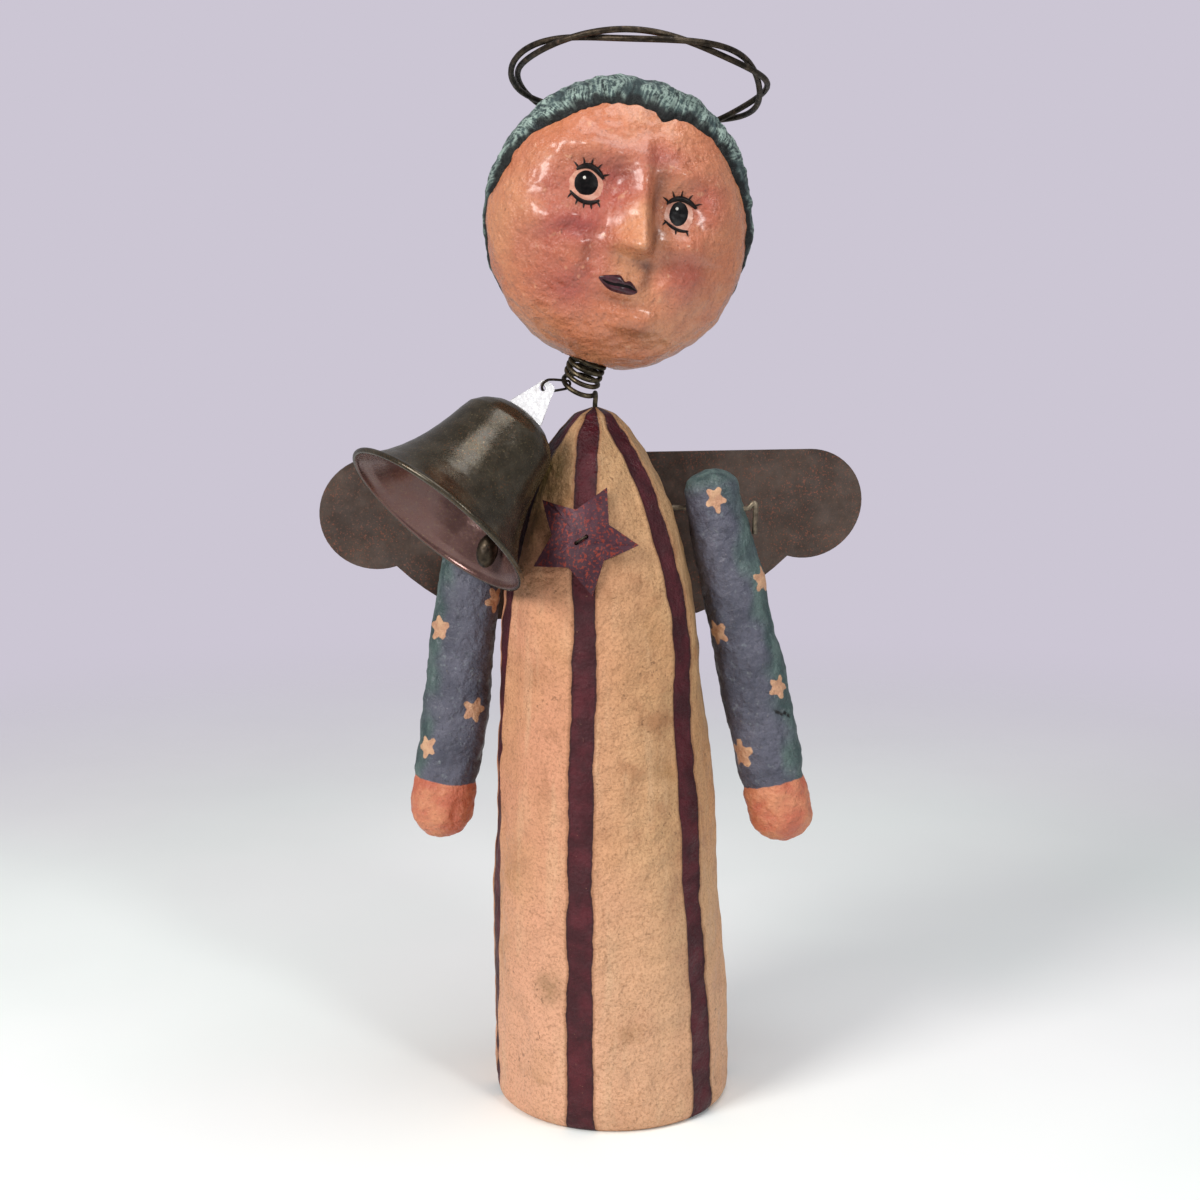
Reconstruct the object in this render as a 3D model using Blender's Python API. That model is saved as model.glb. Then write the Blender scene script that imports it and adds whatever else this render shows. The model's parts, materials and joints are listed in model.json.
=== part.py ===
"""Papier-mache angel doll with a spring neck, wire-hung arms, tin wings, a wire halo and a bell.

Units are metres. The foot rests on Z = 0, +X is the viewer's right, the face looks along -Y and +Z is up.
"""
import math

import bmesh
import bpy
from mathutils import Matrix, Vector

# Fits between pieces
GAP = 0.0003
WIRE_PLAY = 0.0003

# Body
BODY_HEIGHT = 0.2357
BASE_RADIUS = 0.0412
DOME_HEIGHT = 0.0607
SHOULDER_HEIGHT = BODY_HEIGHT - DOME_HEIGHT
SHOULDER_RADIUS = 0.032
SIDE_POWER = 1.5
DOME_POWER = 1.3
BODY_LEAN_X = -0.0059
BODY_LEAN_Y = -0.004
BODY_WALL = 0.005
FOOT_ROUND = 0.0035
BASE_THICKNESS = 0.003
NECK_BLOCK_HEIGHT = 0.022

# Neck spring
SPRING_WIRE = 0.0008
COIL_RADIUS = 0.0055
COIL_TURNS = 4.6
COIL_PITCH = 0.00205
COIL_OPENING = 0.0011
COIL_LIFT = 0.0052
COIL_LEAN = math.radians(18)
TAIL_BEND = 0.0015
TAIL_DEPTH = 0.012

# Head
HEAD_HALF_WIDTH = 0.0414
HEAD_HALF_DEPTH = 0.028
HEAD_HALF_HEIGHT = 0.0438
HEAD_SQUARENESS = 0.9
JAW_BULGE = 0.07
JAW_ANGLE = math.radians(138)
HEAD_ROLL = math.radians(14)
HEAD_YAW = math.radians(7)
HEAD_WALL = 0.004
HEAD_SHIFT = 0.0017
HEAD_SEAT = 0.0012
PLUG_RADIUS = 0.0085
PLUG_LENGTH = 0.014
PLUG_RECESS = 0.0022
NOSE_LENGTH = 0.03
NOSE_WIDTH = 0.0145
NOSE_HEIGHT = 0.0105
NOSE_OFFSET = 0.0015
NOSE_SKEW = 0.0015
NOSE_LEAN = math.radians(12)
NOSE_LIFT = 0.0035

# Hair
HAIR_THICKNESS = 0.0023
HAIR_EDGE = 0.6
HAIR_CHIN_SHARE = 0.35
HAIRLINE_TOP = math.radians(127)
HAIRLINE_SIDE = math.radians(98)
HAIRLINE_CHIN = math.radians(76)

# Halo
HALO_WIRE = 0.00095
HALO_RADIUS = 0.0388
HALO_STRAND_GAP = 0.0007
HALO_TWISTS = 3.5
HALO_TILT = math.radians(16)
HALO_ROLL = math.radians(4)
HALO_OFFSET = Vector((0.00673, -0.007, 0.04337))
HALO_STEM_ANGLE = math.radians(10)
HALO_STEM_BEND = 0.0028

# Arms and their wire
ARM_DROP = 0.0337
ARM_HEIGHT = BODY_HEIGHT - ARM_DROP
ARM_SETBACK = 0.0032
ARM_CLEARANCE = 0.0072
ARM_SPREAD = SHOULDER_RADIUS + ARM_CLEARANCE
ARM_WIRE = 0.0009
ARM_WIRE_TURN = math.radians(4)
ARM_ABOVE = 0.0135
ARM_BELOW = 0.1162
ARM_TOP_RADIUS = 0.0093
ARM_HAND_RADIUS = 0.0109
ARM_TOP_CAP = 0.007
ARM_HAND_CAP = 0.009
RIGHT_SPLAY = math.radians(12.4)
LEFT_SPLAY = math.radians(7.8)
HOOK_REACH = 0.0034
HOOK_RISE = 0.0016
HOOK_DROP = 0.0085

# Wings
WING_HALF_SPAN = 0.0945
WING_THICKNESS = 0.0008
WING_LOBE_RADIUS = 0.0198
WING_DROP = 0.0373
WING_HEIGHT = BODY_HEIGHT - WING_DROP
WING_SHIFT = 0.0045
WING_NOTCH_INSET = 0.006
WING_SKIRT_DROP = 0.0393
WING_SKIRT_HALF = 0.037
WING_SKIRT_BULGE = 0.0022
WING_TURN = math.radians(9.75)
WING_TILT = math.radians(9.5)
WING_STAPLE_DROPS = {"wing_staple_upper": 0.010, "wing_staple_lower": 0.030}
WING_STAPLE_SPAN = 0.009
WING_STAPLE_WIRE = 0.0006
STAPLE_DEPTH = 0.0095

# Star
STAR_DROP = 0.04
STAR_HEIGHT = BODY_HEIGHT - STAR_DROP
STAR_AZIMUTH = math.radians(-10.5)
STAR_RADIUS = 0.0182
STAR_WAIST = 0.0097
STAR_TURN = math.radians(24)
STAR_THICKNESS = 0.0008
STAR_STANDOFF = 0.0005
STAR_BEND = 0.62
STAR_STAPLE_SPAN = 0.0038
STAR_STAPLE_WIRE = 0.0004
STAR_STAPLE_TURN = math.radians(33)

# Bell
BELL_AZIMUTH = math.radians(213)
BELL_REST = 0.00095
BELL_HEIGHT = 0.0459
BELL_CROWN_HEIGHT = 0.0119
BELL_WAIST_RADIUS = 0.0145
BELL_FLARE = 0.018
BELL_FLARE_LENGTH = 0.018
BELL_WALL = 0.0009
LIP_ROLL = 0.0013
HANG_TURN = math.radians(147)
LINK_LENGTH = 0.0068
LINK_WIRE = 0.00042
LINK_COIL_RADIUS = 0.0015
LINK_EAR_RADIUS = 0.0022
LINK_SLANT = math.radians(45)
EAR_TURN = math.radians(25.5)
EAR_LENGTH = 0.0135
EAR_TIP_MARGIN = 0.001
EAR_TIP_HALF = 0.0025
EAR_FOOT_HALF = 0.0063
EAR_HOLE_RADIUS = 0.0011
EAR_SHEET = 0.0008
BACK_EAR_LENGTH = 0.0075
BACK_EAR_HALF = 0.0045
EAR_SPACING = 0.003
TONGUE_LENGTH = 0.0085
TONGUE_HALF = 0.0026
TONGUE_EYE_RADIUS = 0.0011

# Clapper
CLAPPER_REST = 0.00118
CLAPPER_WIRE = 0.00045
CLAPPER_HOOK_RADIUS = 0.0018
CLAPPER_SHORT = 0.0119
CLAPPER_LENGTH = BELL_HEIGHT - CLAPPER_SHORT
BOB_RADIUS = 0.0036
BOB_LENGTH = 0.011

UP = Vector((0, 0, 1))
SHARP = math.radians(38)

for old in list(bpy.data.objects):
    bpy.data.objects.remove(old, do_unlink=True)


# Materials
def linear(value):
    share = value / 255
    return share / 12.92 if share <= 0.04045 else ((share + 0.055) / 1.055) ** 2.4


def paint(name, red, green, blue, roughness, metallic=0.0):
    material = bpy.data.materials.new(name)
    material.use_nodes = True
    shader = material.node_tree.nodes["Principled BSDF"]
    shader.inputs["Base Color"].default_value = (linear(red), linear(green), linear(blue), 1)
    shader.inputs["Roughness"].default_value = roughness
    shader.inputs["Metallic"].default_value = metallic
    return material


# Makers
def finish(obj, material, origin):
    obj.location = origin
    obj.data.materials.append(material)
    bpy.context.scene.collection.objects.link(obj)
    return obj


def solid(name, bm, material, origin=Vector()):
    bmesh.ops.recalc_face_normals(bm, faces=bm.faces)
    bmesh.ops.translate(bm, verts=bm.verts, vec=-origin)
    mesh = bpy.data.meshes.new(name)
    bm.to_mesh(mesh)
    bm.free()
    mesh.shade_smooth()
    mesh.set_sharp_from_angle(angle=SHARP)
    return finish(bpy.data.objects.new(name, mesh), material, origin)


def loft(rings, closed=False):
    bm = bmesh.new()
    loops = [[bm.verts.new(point) for point in ring] for ring in rings]
    following = loops[1:] + loops[:1] if closed else loops[1:]
    for low, high in zip(loops, following):
        for i in range(len(low)):
            j = (i + 1) % len(low)
            bm.faces.new((low[i], low[j], high[j], high[i]))
    if not closed:
        bm.faces.new(loops[0][::-1])
        bm.faces.new(loops[-1])
    return bm


def circle(centre, first, second, radius, count):
    turns = [2 * math.pi * i / count for i in range(count)]
    return [centre + radius * (math.cos(a) * first + math.sin(a) * second) for a in turns]


def across(direction):
    first = direction.orthogonal().normalized()
    return first, direction.cross(first)


def tube(name, points, radius, material, origin=Vector(), cyclic=False):
    curve = bpy.data.curves.new(name, "CURVE")
    curve.dimensions = "3D"
    curve.fill_mode = "FULL"
    curve.bevel_depth = radius
    curve.bevel_resolution = 1
    curve.use_fill_caps = True
    spline = curve.splines.new("POLY")
    spline.points.add(len(points) - 1)
    for point, place in zip(spline.points, points):
        point.co = (*(place - origin), 1)
    spline.use_cyclic_u = cyclic
    return finish(bpy.data.objects.new(name, curve), material, origin)


def boolean(obj, other, operation):
    modifier = obj.modifiers.new(other.name, "BOOLEAN")
    modifier.operation = operation
    modifier.solver = "EXACT"
    modifier.object = other
    other.hide_render = True
    other.display_type = "WIRE"


def drill(obj, name, start, end, radius, count=12):
    first, second = across((end - start).normalized())
    rings = [circle(place, first, second, radius, count) for place in (start, end)]
    boolean(obj, solid(name, loft(rings), CUTTER), "DIFFERENCE")


def staple(name, centre, span, normal, wire, material):
    """A wire crown along span, lying on the sheet at centre, with two legs going in against normal."""
    side = span.normalized()
    corner = wire * 1.5
    half = span.length / 2
    crown = centre + normal * wire
    path = []
    for sign in (-1, 1):
        foot = centre + side * half * sign - normal * STAPLE_DEPTH
        bend = crown + side * half * sign - normal * corner
        ease = crown + (side * half * sign - side * corner * 0.3 * sign) - normal * corner * 0.3
        run = crown + side * (half - corner) * sign
        path.append([foot, bend, ease, run])
    return tube(name, path[0] + path[1][::-1], wire, material)


CUTTER = paint("cutter", 128, 128, 128, 0.5)
BODY_PAINT = paint("body_paint", 212, 176, 132, 0.6)
FLESH = paint("flesh_paint", 214, 150, 116, 0.35)
HAIR = paint("hair_paint", 62, 82, 82, 0.35)
SLEEVE = paint("sleeve_paint", 72, 78, 92, 0.45)
CARD = paint("card", 176, 150, 118, 0.85)
WOOD = paint("wood", 178, 140, 96, 0.7)
SPRING_STEEL = paint("spring_steel", 78, 74, 58, 0.45, 0.9)
BLACK_WIRE = paint("black_wire", 58, 54, 50, 0.45, 0.8)
GREY_WIRE = paint("grey_wire", 150, 138, 118, 0.4, 0.9)
TIN = paint("rusty_tin", 70, 58, 50, 0.6, 0.6)
STAR_TIN = paint("star_tin", 95, 60, 66, 0.5, 0.4)
BRONZE = paint("rusty_bronze", 78, 66, 50, 0.55, 0.7)
BRIGHT_TIN = paint("bright_tin", 176, 172, 158, 0.35, 0.9)


# Body
def body_axis(z):
    return Vector((BODY_LEAN_X * z / BODY_HEIGHT, BODY_LEAN_Y * z / BODY_HEIGHT, z))


def body_radius(z, inset=0.0):
    shoulder = SHOULDER_RADIUS - inset
    if z <= SHOULDER_HEIGHT:
        flare = BASE_RADIUS - SHOULDER_RADIUS
        return shoulder + flare * (1 - (z / SHOULDER_HEIGHT) ** SIDE_POWER)
    share = (z - SHOULDER_HEIGHT) / (BODY_HEIGHT - inset - SHOULDER_HEIGHT)
    return shoulder * math.sqrt(max(0.0, 1 - share ** DOME_POWER))


def dome_height(radius, inset=0.0):
    share = (1 - (radius / (SHOULDER_RADIUS - inset)) ** 2) ** (1 / DOME_POWER)
    return SHOULDER_HEIGHT + share * (BODY_HEIGHT - inset - SHOULDER_HEIGHT)


def body_point(z, azimuth, inset=0.0):
    """A point of the body at height z; azimuth runs from the front towards +X."""
    outward = Vector((math.sin(azimuth), -math.cos(azimuth), 0))
    return body_axis(z) + outward * body_radius(z, inset)


def body_ring(z, radius, count):
    return circle(body_axis(z), Vector((1, 0, 0)), Vector((0, 1, 0)), radius, count)


def dome_stations(inset, last_radius, steps):
    """Heights and radii from just above the shoulder up to last_radius near the top."""
    widest = SHOULDER_RADIUS - inset
    radii = [widest * math.cos(math.acos(last_radius / widest) * i / steps) for i in range(1, steps + 1)]
    return [(dome_height(radius, inset), radius) for radius in radii]


BODY_SIDES = 44
TAIL_HOLE = SPRING_WIRE + WIRE_PLAY
outer = []
for i in range(5):
    turn = math.pi / 2 * i / 4
    z = FOOT_ROUND * (1 - math.cos(turn))
    outer.append((z, body_radius(z) - FOOT_ROUND * (1 - math.sin(turn))))
for i in range(1, 7):
    z = FOOT_ROUND + (SHOULDER_HEIGHT - FOOT_ROUND) * i / 6
    outer.append((z, body_radius(z)))
outer += dome_stations(0.0, TAIL_HOLE, 9)
inner_dome = dome_stations(BODY_WALL, TAIL_HOLE, 9)
inner_side = [(SHOULDER_HEIGHT * i / 6, body_radius(SHOULDER_HEIGHT * i / 6, BODY_WALL)) for i in range(7)]
shell_stations = outer + (inner_side + inner_dome)[::-1]
shell_rings = [body_ring(z, radius, BODY_SIDES) for z, radius in shell_stations]
body_shell = solid("body_shell", loft(shell_rings, closed=True), BODY_PAINT)

disc_radius = body_radius(BASE_THICKNESS, BODY_WALL) - GAP
base_rings = [body_ring(z, disc_radius, BODY_SIDES) for z in (0.0, BASE_THICKNESS)]
solid("base_disc", loft(base_rings), CARD)

block_top = BODY_HEIGHT - BODY_WALL - GAP
apex = body_axis(BODY_HEIGHT)
block_rings = []
for z, radius in inner_dome:
    if z > block_top - NECK_BLOCK_HEIGHT:
        block_rings.append(body_ring(z - GAP, max(TAIL_HOLE, radius - GAP), BODY_SIDES))
block_rings.append(body_ring(block_top - TAIL_DEPTH, TAIL_HOLE, BODY_SIDES))
solid("neck_block", loft(block_rings), WOOD)

# Neck spring: lower tail out of the body, open first turn, close turns, upper tail into the head
coil_along = Vector((math.sin(COIL_LEAN), 0, math.cos(COIL_LEAN)))
coil_side = Vector((math.cos(COIL_LEAN), 0, -math.sin(COIL_LEAN)))
coil_back = Vector((0, 1, 0))
coil_start = apex + Vector((-COIL_RADIUS * math.cos(COIL_LEAN), -TAIL_BEND, COIL_LIFT))


def smooth_step(share):
    share = min(1.0, max(0.0, share))
    return share * share * (3 - 2 * share)


def coil_point(turn):
    angle = -2 * math.pi * turn
    rise = COIL_PITCH * turn + COIL_OPENING * smooth_step((turn - 0.55) / 0.7)
    spoke = math.cos(angle) * coil_side + math.sin(angle) * coil_back
    return coil_start + rise * coil_along + COIL_RADIUS * spoke


coil_rise = COIL_PITCH * COIL_TURNS + COIL_OPENING
coil_top = coil_start + coil_rise * coil_along
head_up = Vector((math.sin(HEAD_ROLL), 0, math.cos(HEAD_ROLL)))
head_right = Vector((math.cos(HEAD_ROLL), 0, -math.sin(HEAD_ROLL)))
steps = round(24 * COIL_TURNS)
coil = [coil_point(COIL_TURNS * i / steps) for i in range(steps + 1)]


def bend_from(point, heading, towards):
    """Three points of a quarter bend that leaves point along heading and ends along towards."""
    turns = [math.pi / 2 * i / 3 for i in (1, 2, 3)]
    return [point + TAIL_BEND * (math.sin(a) * heading + (1 - math.cos(a)) * towards) for a in turns]


def square_to(heading, towards):
    return (heading - towards * heading.dot(towards)).normalized()


lower_bend = bend_from(coil[0], square_to(coil[0] - coil[1], -UP), -UP)
tail_foot = body_axis(block_top - TAIL_DEPTH + GAP)
lower_tail = [tail_foot, body_axis(BODY_HEIGHT + SPRING_WIRE)]
upper_bend = bend_from(coil[-1], square_to(coil[-1] - coil[-2], head_up), head_up)
upper_tail = [upper_bend[-1] + head_up * run for run in (2 * SPRING_WIRE, TAIL_DEPTH)]
spring_path = lower_tail + lower_bend[::-1] + coil + upper_bend + upper_tail
neck_pivot = (coil_start + coil_top) / 2
tube("neck_spring", spring_path, SPRING_WIRE, SPRING_STEEL, neck_pivot)


def clear_of_itself(path, wire, apart):
    """The least gap between stretches of a wire that lie further apart than apart along it."""
    least = 1.0
    length = [0.0]
    for a, b in zip(path, path[1:]):
        length.append(length[-1] + (b - a).length)
    for i, a in enumerate(path):
        for j in range(i + 1, len(path)):
            if length[j] - length[i] > apart:
                least = min(least, (path[j] - a).length - 2 * wire)
    return least


spring_gap = clear_of_itself(spring_path, SPRING_WIRE, 4 * COIL_RADIUS)
print(f"neck_spring: least gap to itself {spring_gap * 1000:.2f} mm")

# Head
plug_face = upper_bend[-1] + head_up * 2 * SPRING_WIRE
head_bottom = plug_face - head_up * PLUG_RECESS
head_centre = coil_top - head_right * HEAD_SHIFT
head_centre += head_up * (head_bottom - head_centre).dot(head_up)
head_centre += head_up * (HEAD_HALF_HEIGHT - HEAD_SEAT)
HEAD = Matrix.Translation(head_centre)
HEAD = HEAD @ Matrix.Rotation(HEAD_ROLL, 4, "Y") @ Matrix.Rotation(HEAD_YAW, 4, "Z")


def head_point(around, back, grow=0.0):
    """A point of the head: around is clockwise from the top seen from the front, back from the rear pole."""
    depth = math.copysign(abs(math.cos(back)) ** HEAD_SQUARENESS, math.cos(back))
    reach = max(0.0, math.sin(back)) ** HEAD_SQUARENESS
    reach *= 1 + JAW_BULGE * max(0.0, math.cos(around - JAW_ANGLE)) ** 3
    place = Vector((
        (HEAD_HALF_WIDTH + grow) * reach * math.sin(around),
        (HEAD_HALF_DEPTH + grow) * depth,
        (HEAD_HALF_HEIGHT + grow) * reach * math.cos(around),
    ))
    return HEAD @ place


def head_ring(back, grow, count):
    return [head_point(2 * math.pi * i / count, back, grow) for i in range(count)]


HEAD_SIDES = 32
HEAD_RINGS = 15
backs = [math.pi * (i + 0.3) / (HEAD_RINGS - 0.4) for i in range(HEAD_RINGS)]
head_skin = loft([head_ring(back, 0.0, HEAD_SIDES) for back in backs])
head_shell = solid("head_shell", head_skin, FLESH, neck_pivot)


def nose_ring(level, width, height, ridge):
    """A four-sided section of the nose: two roots in the wall of the face and the two edges of the ridge."""
    skew = NOSE_SKEW * height / NOSE_HEIGHT
    corners = [
        (-width / 2, HEAD_WALL),
        (width / 2, HEAD_WALL),
        (skew + ridge / 2, -height),
        (skew - ridge / 2, -height),
    ]
    lean = Matrix.Rotation(-NOSE_LEAN, 3, "Y")
    middle = Vector((NOSE_OFFSET, -HEAD_HALF_DEPTH, NOSE_LIFT))
    return [HEAD @ (middle + lean @ Vector((x, y, level))) for x, y in corners]


nose_rings = [
    nose_ring(-NOSE_LENGTH * 0.48, NOSE_WIDTH, 0.0, NOSE_WIDTH * 0.8),
    nose_ring(-NOSE_LENGTH * 0.34, NOSE_WIDTH, NOSE_HEIGHT, NOSE_WIDTH * 0.3),
    nose_ring(NOSE_LENGTH * 0.52, NOSE_WIDTH * 0.65, NOSE_HEIGHT * 0.15, NOSE_WIDTH * 0.12),
]
boolean(head_shell, solid("nose_wedge", loft(nose_rings), FLESH), "UNION")
hollow = loft([head_ring(back, -HEAD_WALL, HEAD_SIDES // 2) for back in backs[::2]])
boolean(head_shell, solid("head_hollow", hollow, CUTTER), "DIFFERENCE")

spring_axis_foot = plug_face + square_to(coil_top - plug_face, head_up) * COIL_RADIUS
plug_top = spring_axis_foot + head_up * PLUG_LENGTH
plug_first, plug_second = across(head_up)
PLUG_SIDES = 24
plug_rings = [circle(p, plug_first, plug_second, PLUG_RADIUS, PLUG_SIDES) for p in (spring_axis_foot, plug_top)]
head_plug = solid("head_plug", loft(plug_rings), WOOD, neck_pivot)
drill(head_plug, "plug_bore", plug_face - head_up * 0.004, upper_tail[-1] + head_up * GAP, TAIL_HOLE)
bore_from = spring_axis_foot - head_up * 0.012
drill(head_shell, "head_bore", bore_from, plug_top + head_up * 0.004, PLUG_RADIUS + GAP, PLUG_SIDES)


# Hair: a raised layer from the rear pole forward to the hairline
HAIR_SEAT = 2 * GAP


def hairline(around):
    top = HAIRLINE_SIDE + (HAIRLINE_TOP - HAIRLINE_SIDE) * max(0.0, math.cos(around)) ** 0.8
    return top - (HAIRLINE_SIDE - HAIRLINE_CHIN) * max(0.0, -math.cos(around)) ** 0.8


def hair_ring(share, rise):
    """A ring of the layer; rise is the share of its thickness, which thins out towards the chin."""
    ring = []
    for i in range(HEAD_SIDES):
        around = 2 * math.pi * i / HEAD_SIDES
        thickness = HAIR_THICKNESS * (1 - (1 - HAIR_CHIN_SHARE) * (1 - math.cos(around)) / 2)
        ring.append(head_point(around, hairline(around) * share, HAIR_SEAT + thickness * rise))
    return ring


HAIR_STEPS = 8
shares = [(i + 0.25) / (HAIR_STEPS - 0.75) for i in range(HAIR_STEPS)]
under = [hair_ring(share, 0.0) for share in shares]
edge = [hair_ring(1.0, HAIR_EDGE), hair_ring(0.985, 1.0)]
over = [hair_ring(share, 1.0) for share in shares[-2::-1]]
hair_cap = solid("hair_cap", loft(under + edge + over), HAIR, neck_pivot)

# Halo: one wire wound twice round, the strands twisted about each other, both ends in the back of the head
halo_turn = Matrix.Rotation(HALO_ROLL, 3, "Y") @ Matrix.Rotation(-HALO_TILT, 3, "X")
halo_x = halo_turn @ Vector((1, 0, 0))
halo_back = halo_turn @ Vector((0, 1, 0))
halo_up = halo_turn @ UP
halo_centre = head_centre + HALO_OFFSET
STRAND = HALO_WIRE + HALO_STRAND_GAP / 2


def halo_point(angle):
    """A point of the winding; angle runs from the back of the loop towards +X, twice round."""
    spoke = math.cos(angle) * halo_back + math.sin(angle) * halo_x
    twist = HALO_TWISTS * angle
    reach = HALO_RADIUS - STRAND * math.cos(twist)
    return halo_centre + reach * spoke + STRAND * math.sin(twist) * halo_up


def nearest_on_hair(place):
    """The point of the back of the hair nearest to place, found by halving the step round the best one."""
    best = (0.0, math.radians(45))
    step = math.radians(20)
    while step > math.radians(0.02):
        tries = [(best[0] + i * step, best[1] + j * step) for i in (-1, 0, 1) for j in (-1, 0, 1)]
        found = min(tries, key=lambda t: (head_point(*t, HAIR_SEAT + HAIR_THICKNESS) - place).length)
        if found == best:
            step /= 2
        best = found
    return head_point(*best, HAIR_SEAT + HAIR_THICKNESS)


def halo_stem(angle, heading):
    """Points from inside the head out to the winding at angle, where the wire leaves along heading."""
    corner = halo_point(angle) - heading * HALO_STEM_BEND
    foot = nearest_on_hair(corner)
    inward = (foot - corner).normalized()
    bend = corner + inward * HALO_STEM_BEND * 0.9
    ease = corner + inward * HALO_STEM_BEND * 0.25 + heading * HALO_STEM_BEND * 0.25
    inside = foot + inward * (HAIR_THICKNESS + HEAD_WALL + 0.003)
    return [inside, foot, bend, ease]


halo_from = HALO_STEM_ANGLE
halo_to = 4 * math.pi - HALO_STEM_ANGLE
HALO_STEPS = 84
winding = [halo_point(halo_from + (halo_to - halo_from) * i / HALO_STEPS) for i in range(HALO_STEPS + 1)]
stems = [
    halo_stem(halo_from, (winding[1] - winding[0]).normalized()),
    halo_stem(halo_to, (winding[-2] - winding[-1]).normalized()),
]
halo_path = stems[0] + winding + stems[1][::-1]
tube("halo_wire", halo_path, HALO_WIRE, BLACK_WIRE, neck_pivot)
halo_gap = clear_of_itself(halo_path, HALO_WIRE, HALO_RADIUS)
print(f"halo_wire: least gap to itself {halo_gap * 1000:.2f} mm")
for piece in (head_shell, hair_cap):
    for side, stem in zip(("right", "left"), stems):
        out = (stem[1] - stem[0]).normalized()
        name = f"{piece.name}_halo_hole_{side}"
        drill(piece, name, stem[0] - out * 0.001, stem[1] + out * 0.002, HALO_WIRE + WIRE_PLAY)

# Arms and the wire they swing on
wire_along = Vector((math.cos(ARM_WIRE_TURN), -math.sin(ARM_WIRE_TURN), 0))
wire_middle = Vector((body_axis(ARM_HEIGHT).x, ARM_SETBACK, ARM_HEIGHT))
ARM_SIDES = 20


def arm_radius(run):
    share = (run + ARM_ABOVE) / (ARM_ABOVE + ARM_BELOW)
    return ARM_TOP_RADIUS + (ARM_HAND_RADIUS - ARM_TOP_RADIUS) * share


def make_arm(name, outward, splay):
    pivot = wire_middle + outward * ARM_SPREAD
    down = outward * math.sin(splay) - UP * math.cos(splay)
    side = outward * math.cos(splay) + UP * math.sin(splay)
    front = down.cross(side)
    stations = []
    for i in range(1, 5):
        turn = math.pi / 2 * i / 4
        run = -ARM_ABOVE + ARM_TOP_CAP * (1 - math.cos(turn))
        stations.append((run, math.sin(turn)))
    for i in range(1, 5):
        low = ARM_BELOW - ARM_HAND_CAP
        high = -ARM_ABOVE + ARM_TOP_CAP
        stations.append((high + (low - high) * i / 4, 1.0))
    for i in range(1, 5):
        turn = math.pi / 2 * i / 4.5
        run = ARM_BELOW - ARM_HAND_CAP * (1 - math.sin(turn))
        stations.append((run, math.cos(turn)))
    rings = []
    for run, share in stations:
        rings.append(circle(pivot + down * run, side, front, arm_radius(run) * share, ARM_SIDES))
    arm = solid(name, loft(rings), SLEEVE, pivot)
    reach = outward * 2 * ARM_HAND_RADIUS
    drill(arm, f"{name}_bore", pivot - reach, pivot + reach, ARM_WIRE + WIRE_PLAY)
    return pivot


def wire_hook(pivot, outward, splay):
    """Points of the wire from the arm outward, over the bend and down to the tip of the hook."""
    clear = arm_radius(0.0) / math.cos(splay) + ARM_WIRE
    foot = pivot + outward * (clear + HOOK_REACH)
    return [
        pivot + outward * clear,
        foot - outward * HOOK_REACH * 0.4 + UP * HOOK_RISE * 0.8,
        foot - outward * HOOK_REACH * 0.12 + UP * HOOK_RISE,
        foot + outward * HOOK_REACH * 0.06 + UP * HOOK_RISE * 0.45,
        foot + outward * HOOK_REACH * 0.08 - UP * HOOK_DROP * 0.2,
        foot - UP * HOOK_DROP,
    ]


right_pivot = make_arm("right_arm", wire_along, RIGHT_SPLAY)
left_pivot = make_arm("left_arm", -wire_along, LEFT_SPLAY)
left_hook = wire_hook(left_pivot, -wire_along, LEFT_SPLAY)
right_hook = wire_hook(right_pivot, wire_along, RIGHT_SPLAY)
tube("arm_wire", left_hook[::-1] + right_hook, ARM_WIRE, GREY_WIRE)
drill(body_shell, "arm_wire_hole", left_pivot, right_pivot, ARM_WIRE + WIRE_PLAY)

# Wings: one sheet, turned and tilted to lie on the sloping back
wing_along = Vector((math.cos(WING_TURN), math.sin(WING_TURN), 0))
wing_level = Vector((-math.sin(WING_TURN), math.cos(WING_TURN), 0))
wing_out = wing_level * math.cos(WING_TILT) + UP * math.sin(WING_TILT)
wing_up = wing_out.cross(wing_along) * -1
back_heights = [SHOULDER_HEIGHT * 0.9 + 0.001 * i for i in range(60)]
wing_rest = max(wing_out.dot(body_axis(z) + wing_level * body_radius(z)) for z in back_heights) + GAP
wing_level_reach = (wing_rest - wing_out.dot(body_axis(WING_HEIGHT))) / wing_out.dot(wing_level)
wing_back = body_axis(WING_HEIGHT) + wing_level * wing_level_reach
wing_origin = wing_back + wing_along * WING_SHIFT
LOBE_STEPS = 30


def wing_half(sign):
    """Outline of one wing from the top middle round the lobe and the skirt to the bottom middle."""
    centre = WING_HALF_SPAN - WING_LOBE_RADIUS
    points = [(0.0, WING_LOBE_RADIUS)]
    last = math.pi + math.asin(WING_NOTCH_INSET / WING_LOBE_RADIUS)
    for i in range(LOBE_STEPS + 1):
        turn = last * i / LOBE_STEPS
        points.append((centre + WING_LOBE_RADIUS * math.sin(turn), WING_LOBE_RADIUS * math.cos(turn)))
    notch = points[-1]
    skirt = (WING_SKIRT_HALF, -WING_SKIRT_DROP)
    for i in range(1, 7):
        share = i / 6
        bulge = WING_SKIRT_BULGE * 4 * share * (1 - share)
        x = notch[0] + (skirt[0] - notch[0]) * share + bulge * 0.5
        y = notch[1] + (skirt[1] - notch[1]) * share - bulge * 0.85
        points.append((x, y))
    return [(sign * x, y) for x, y in points]


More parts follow.
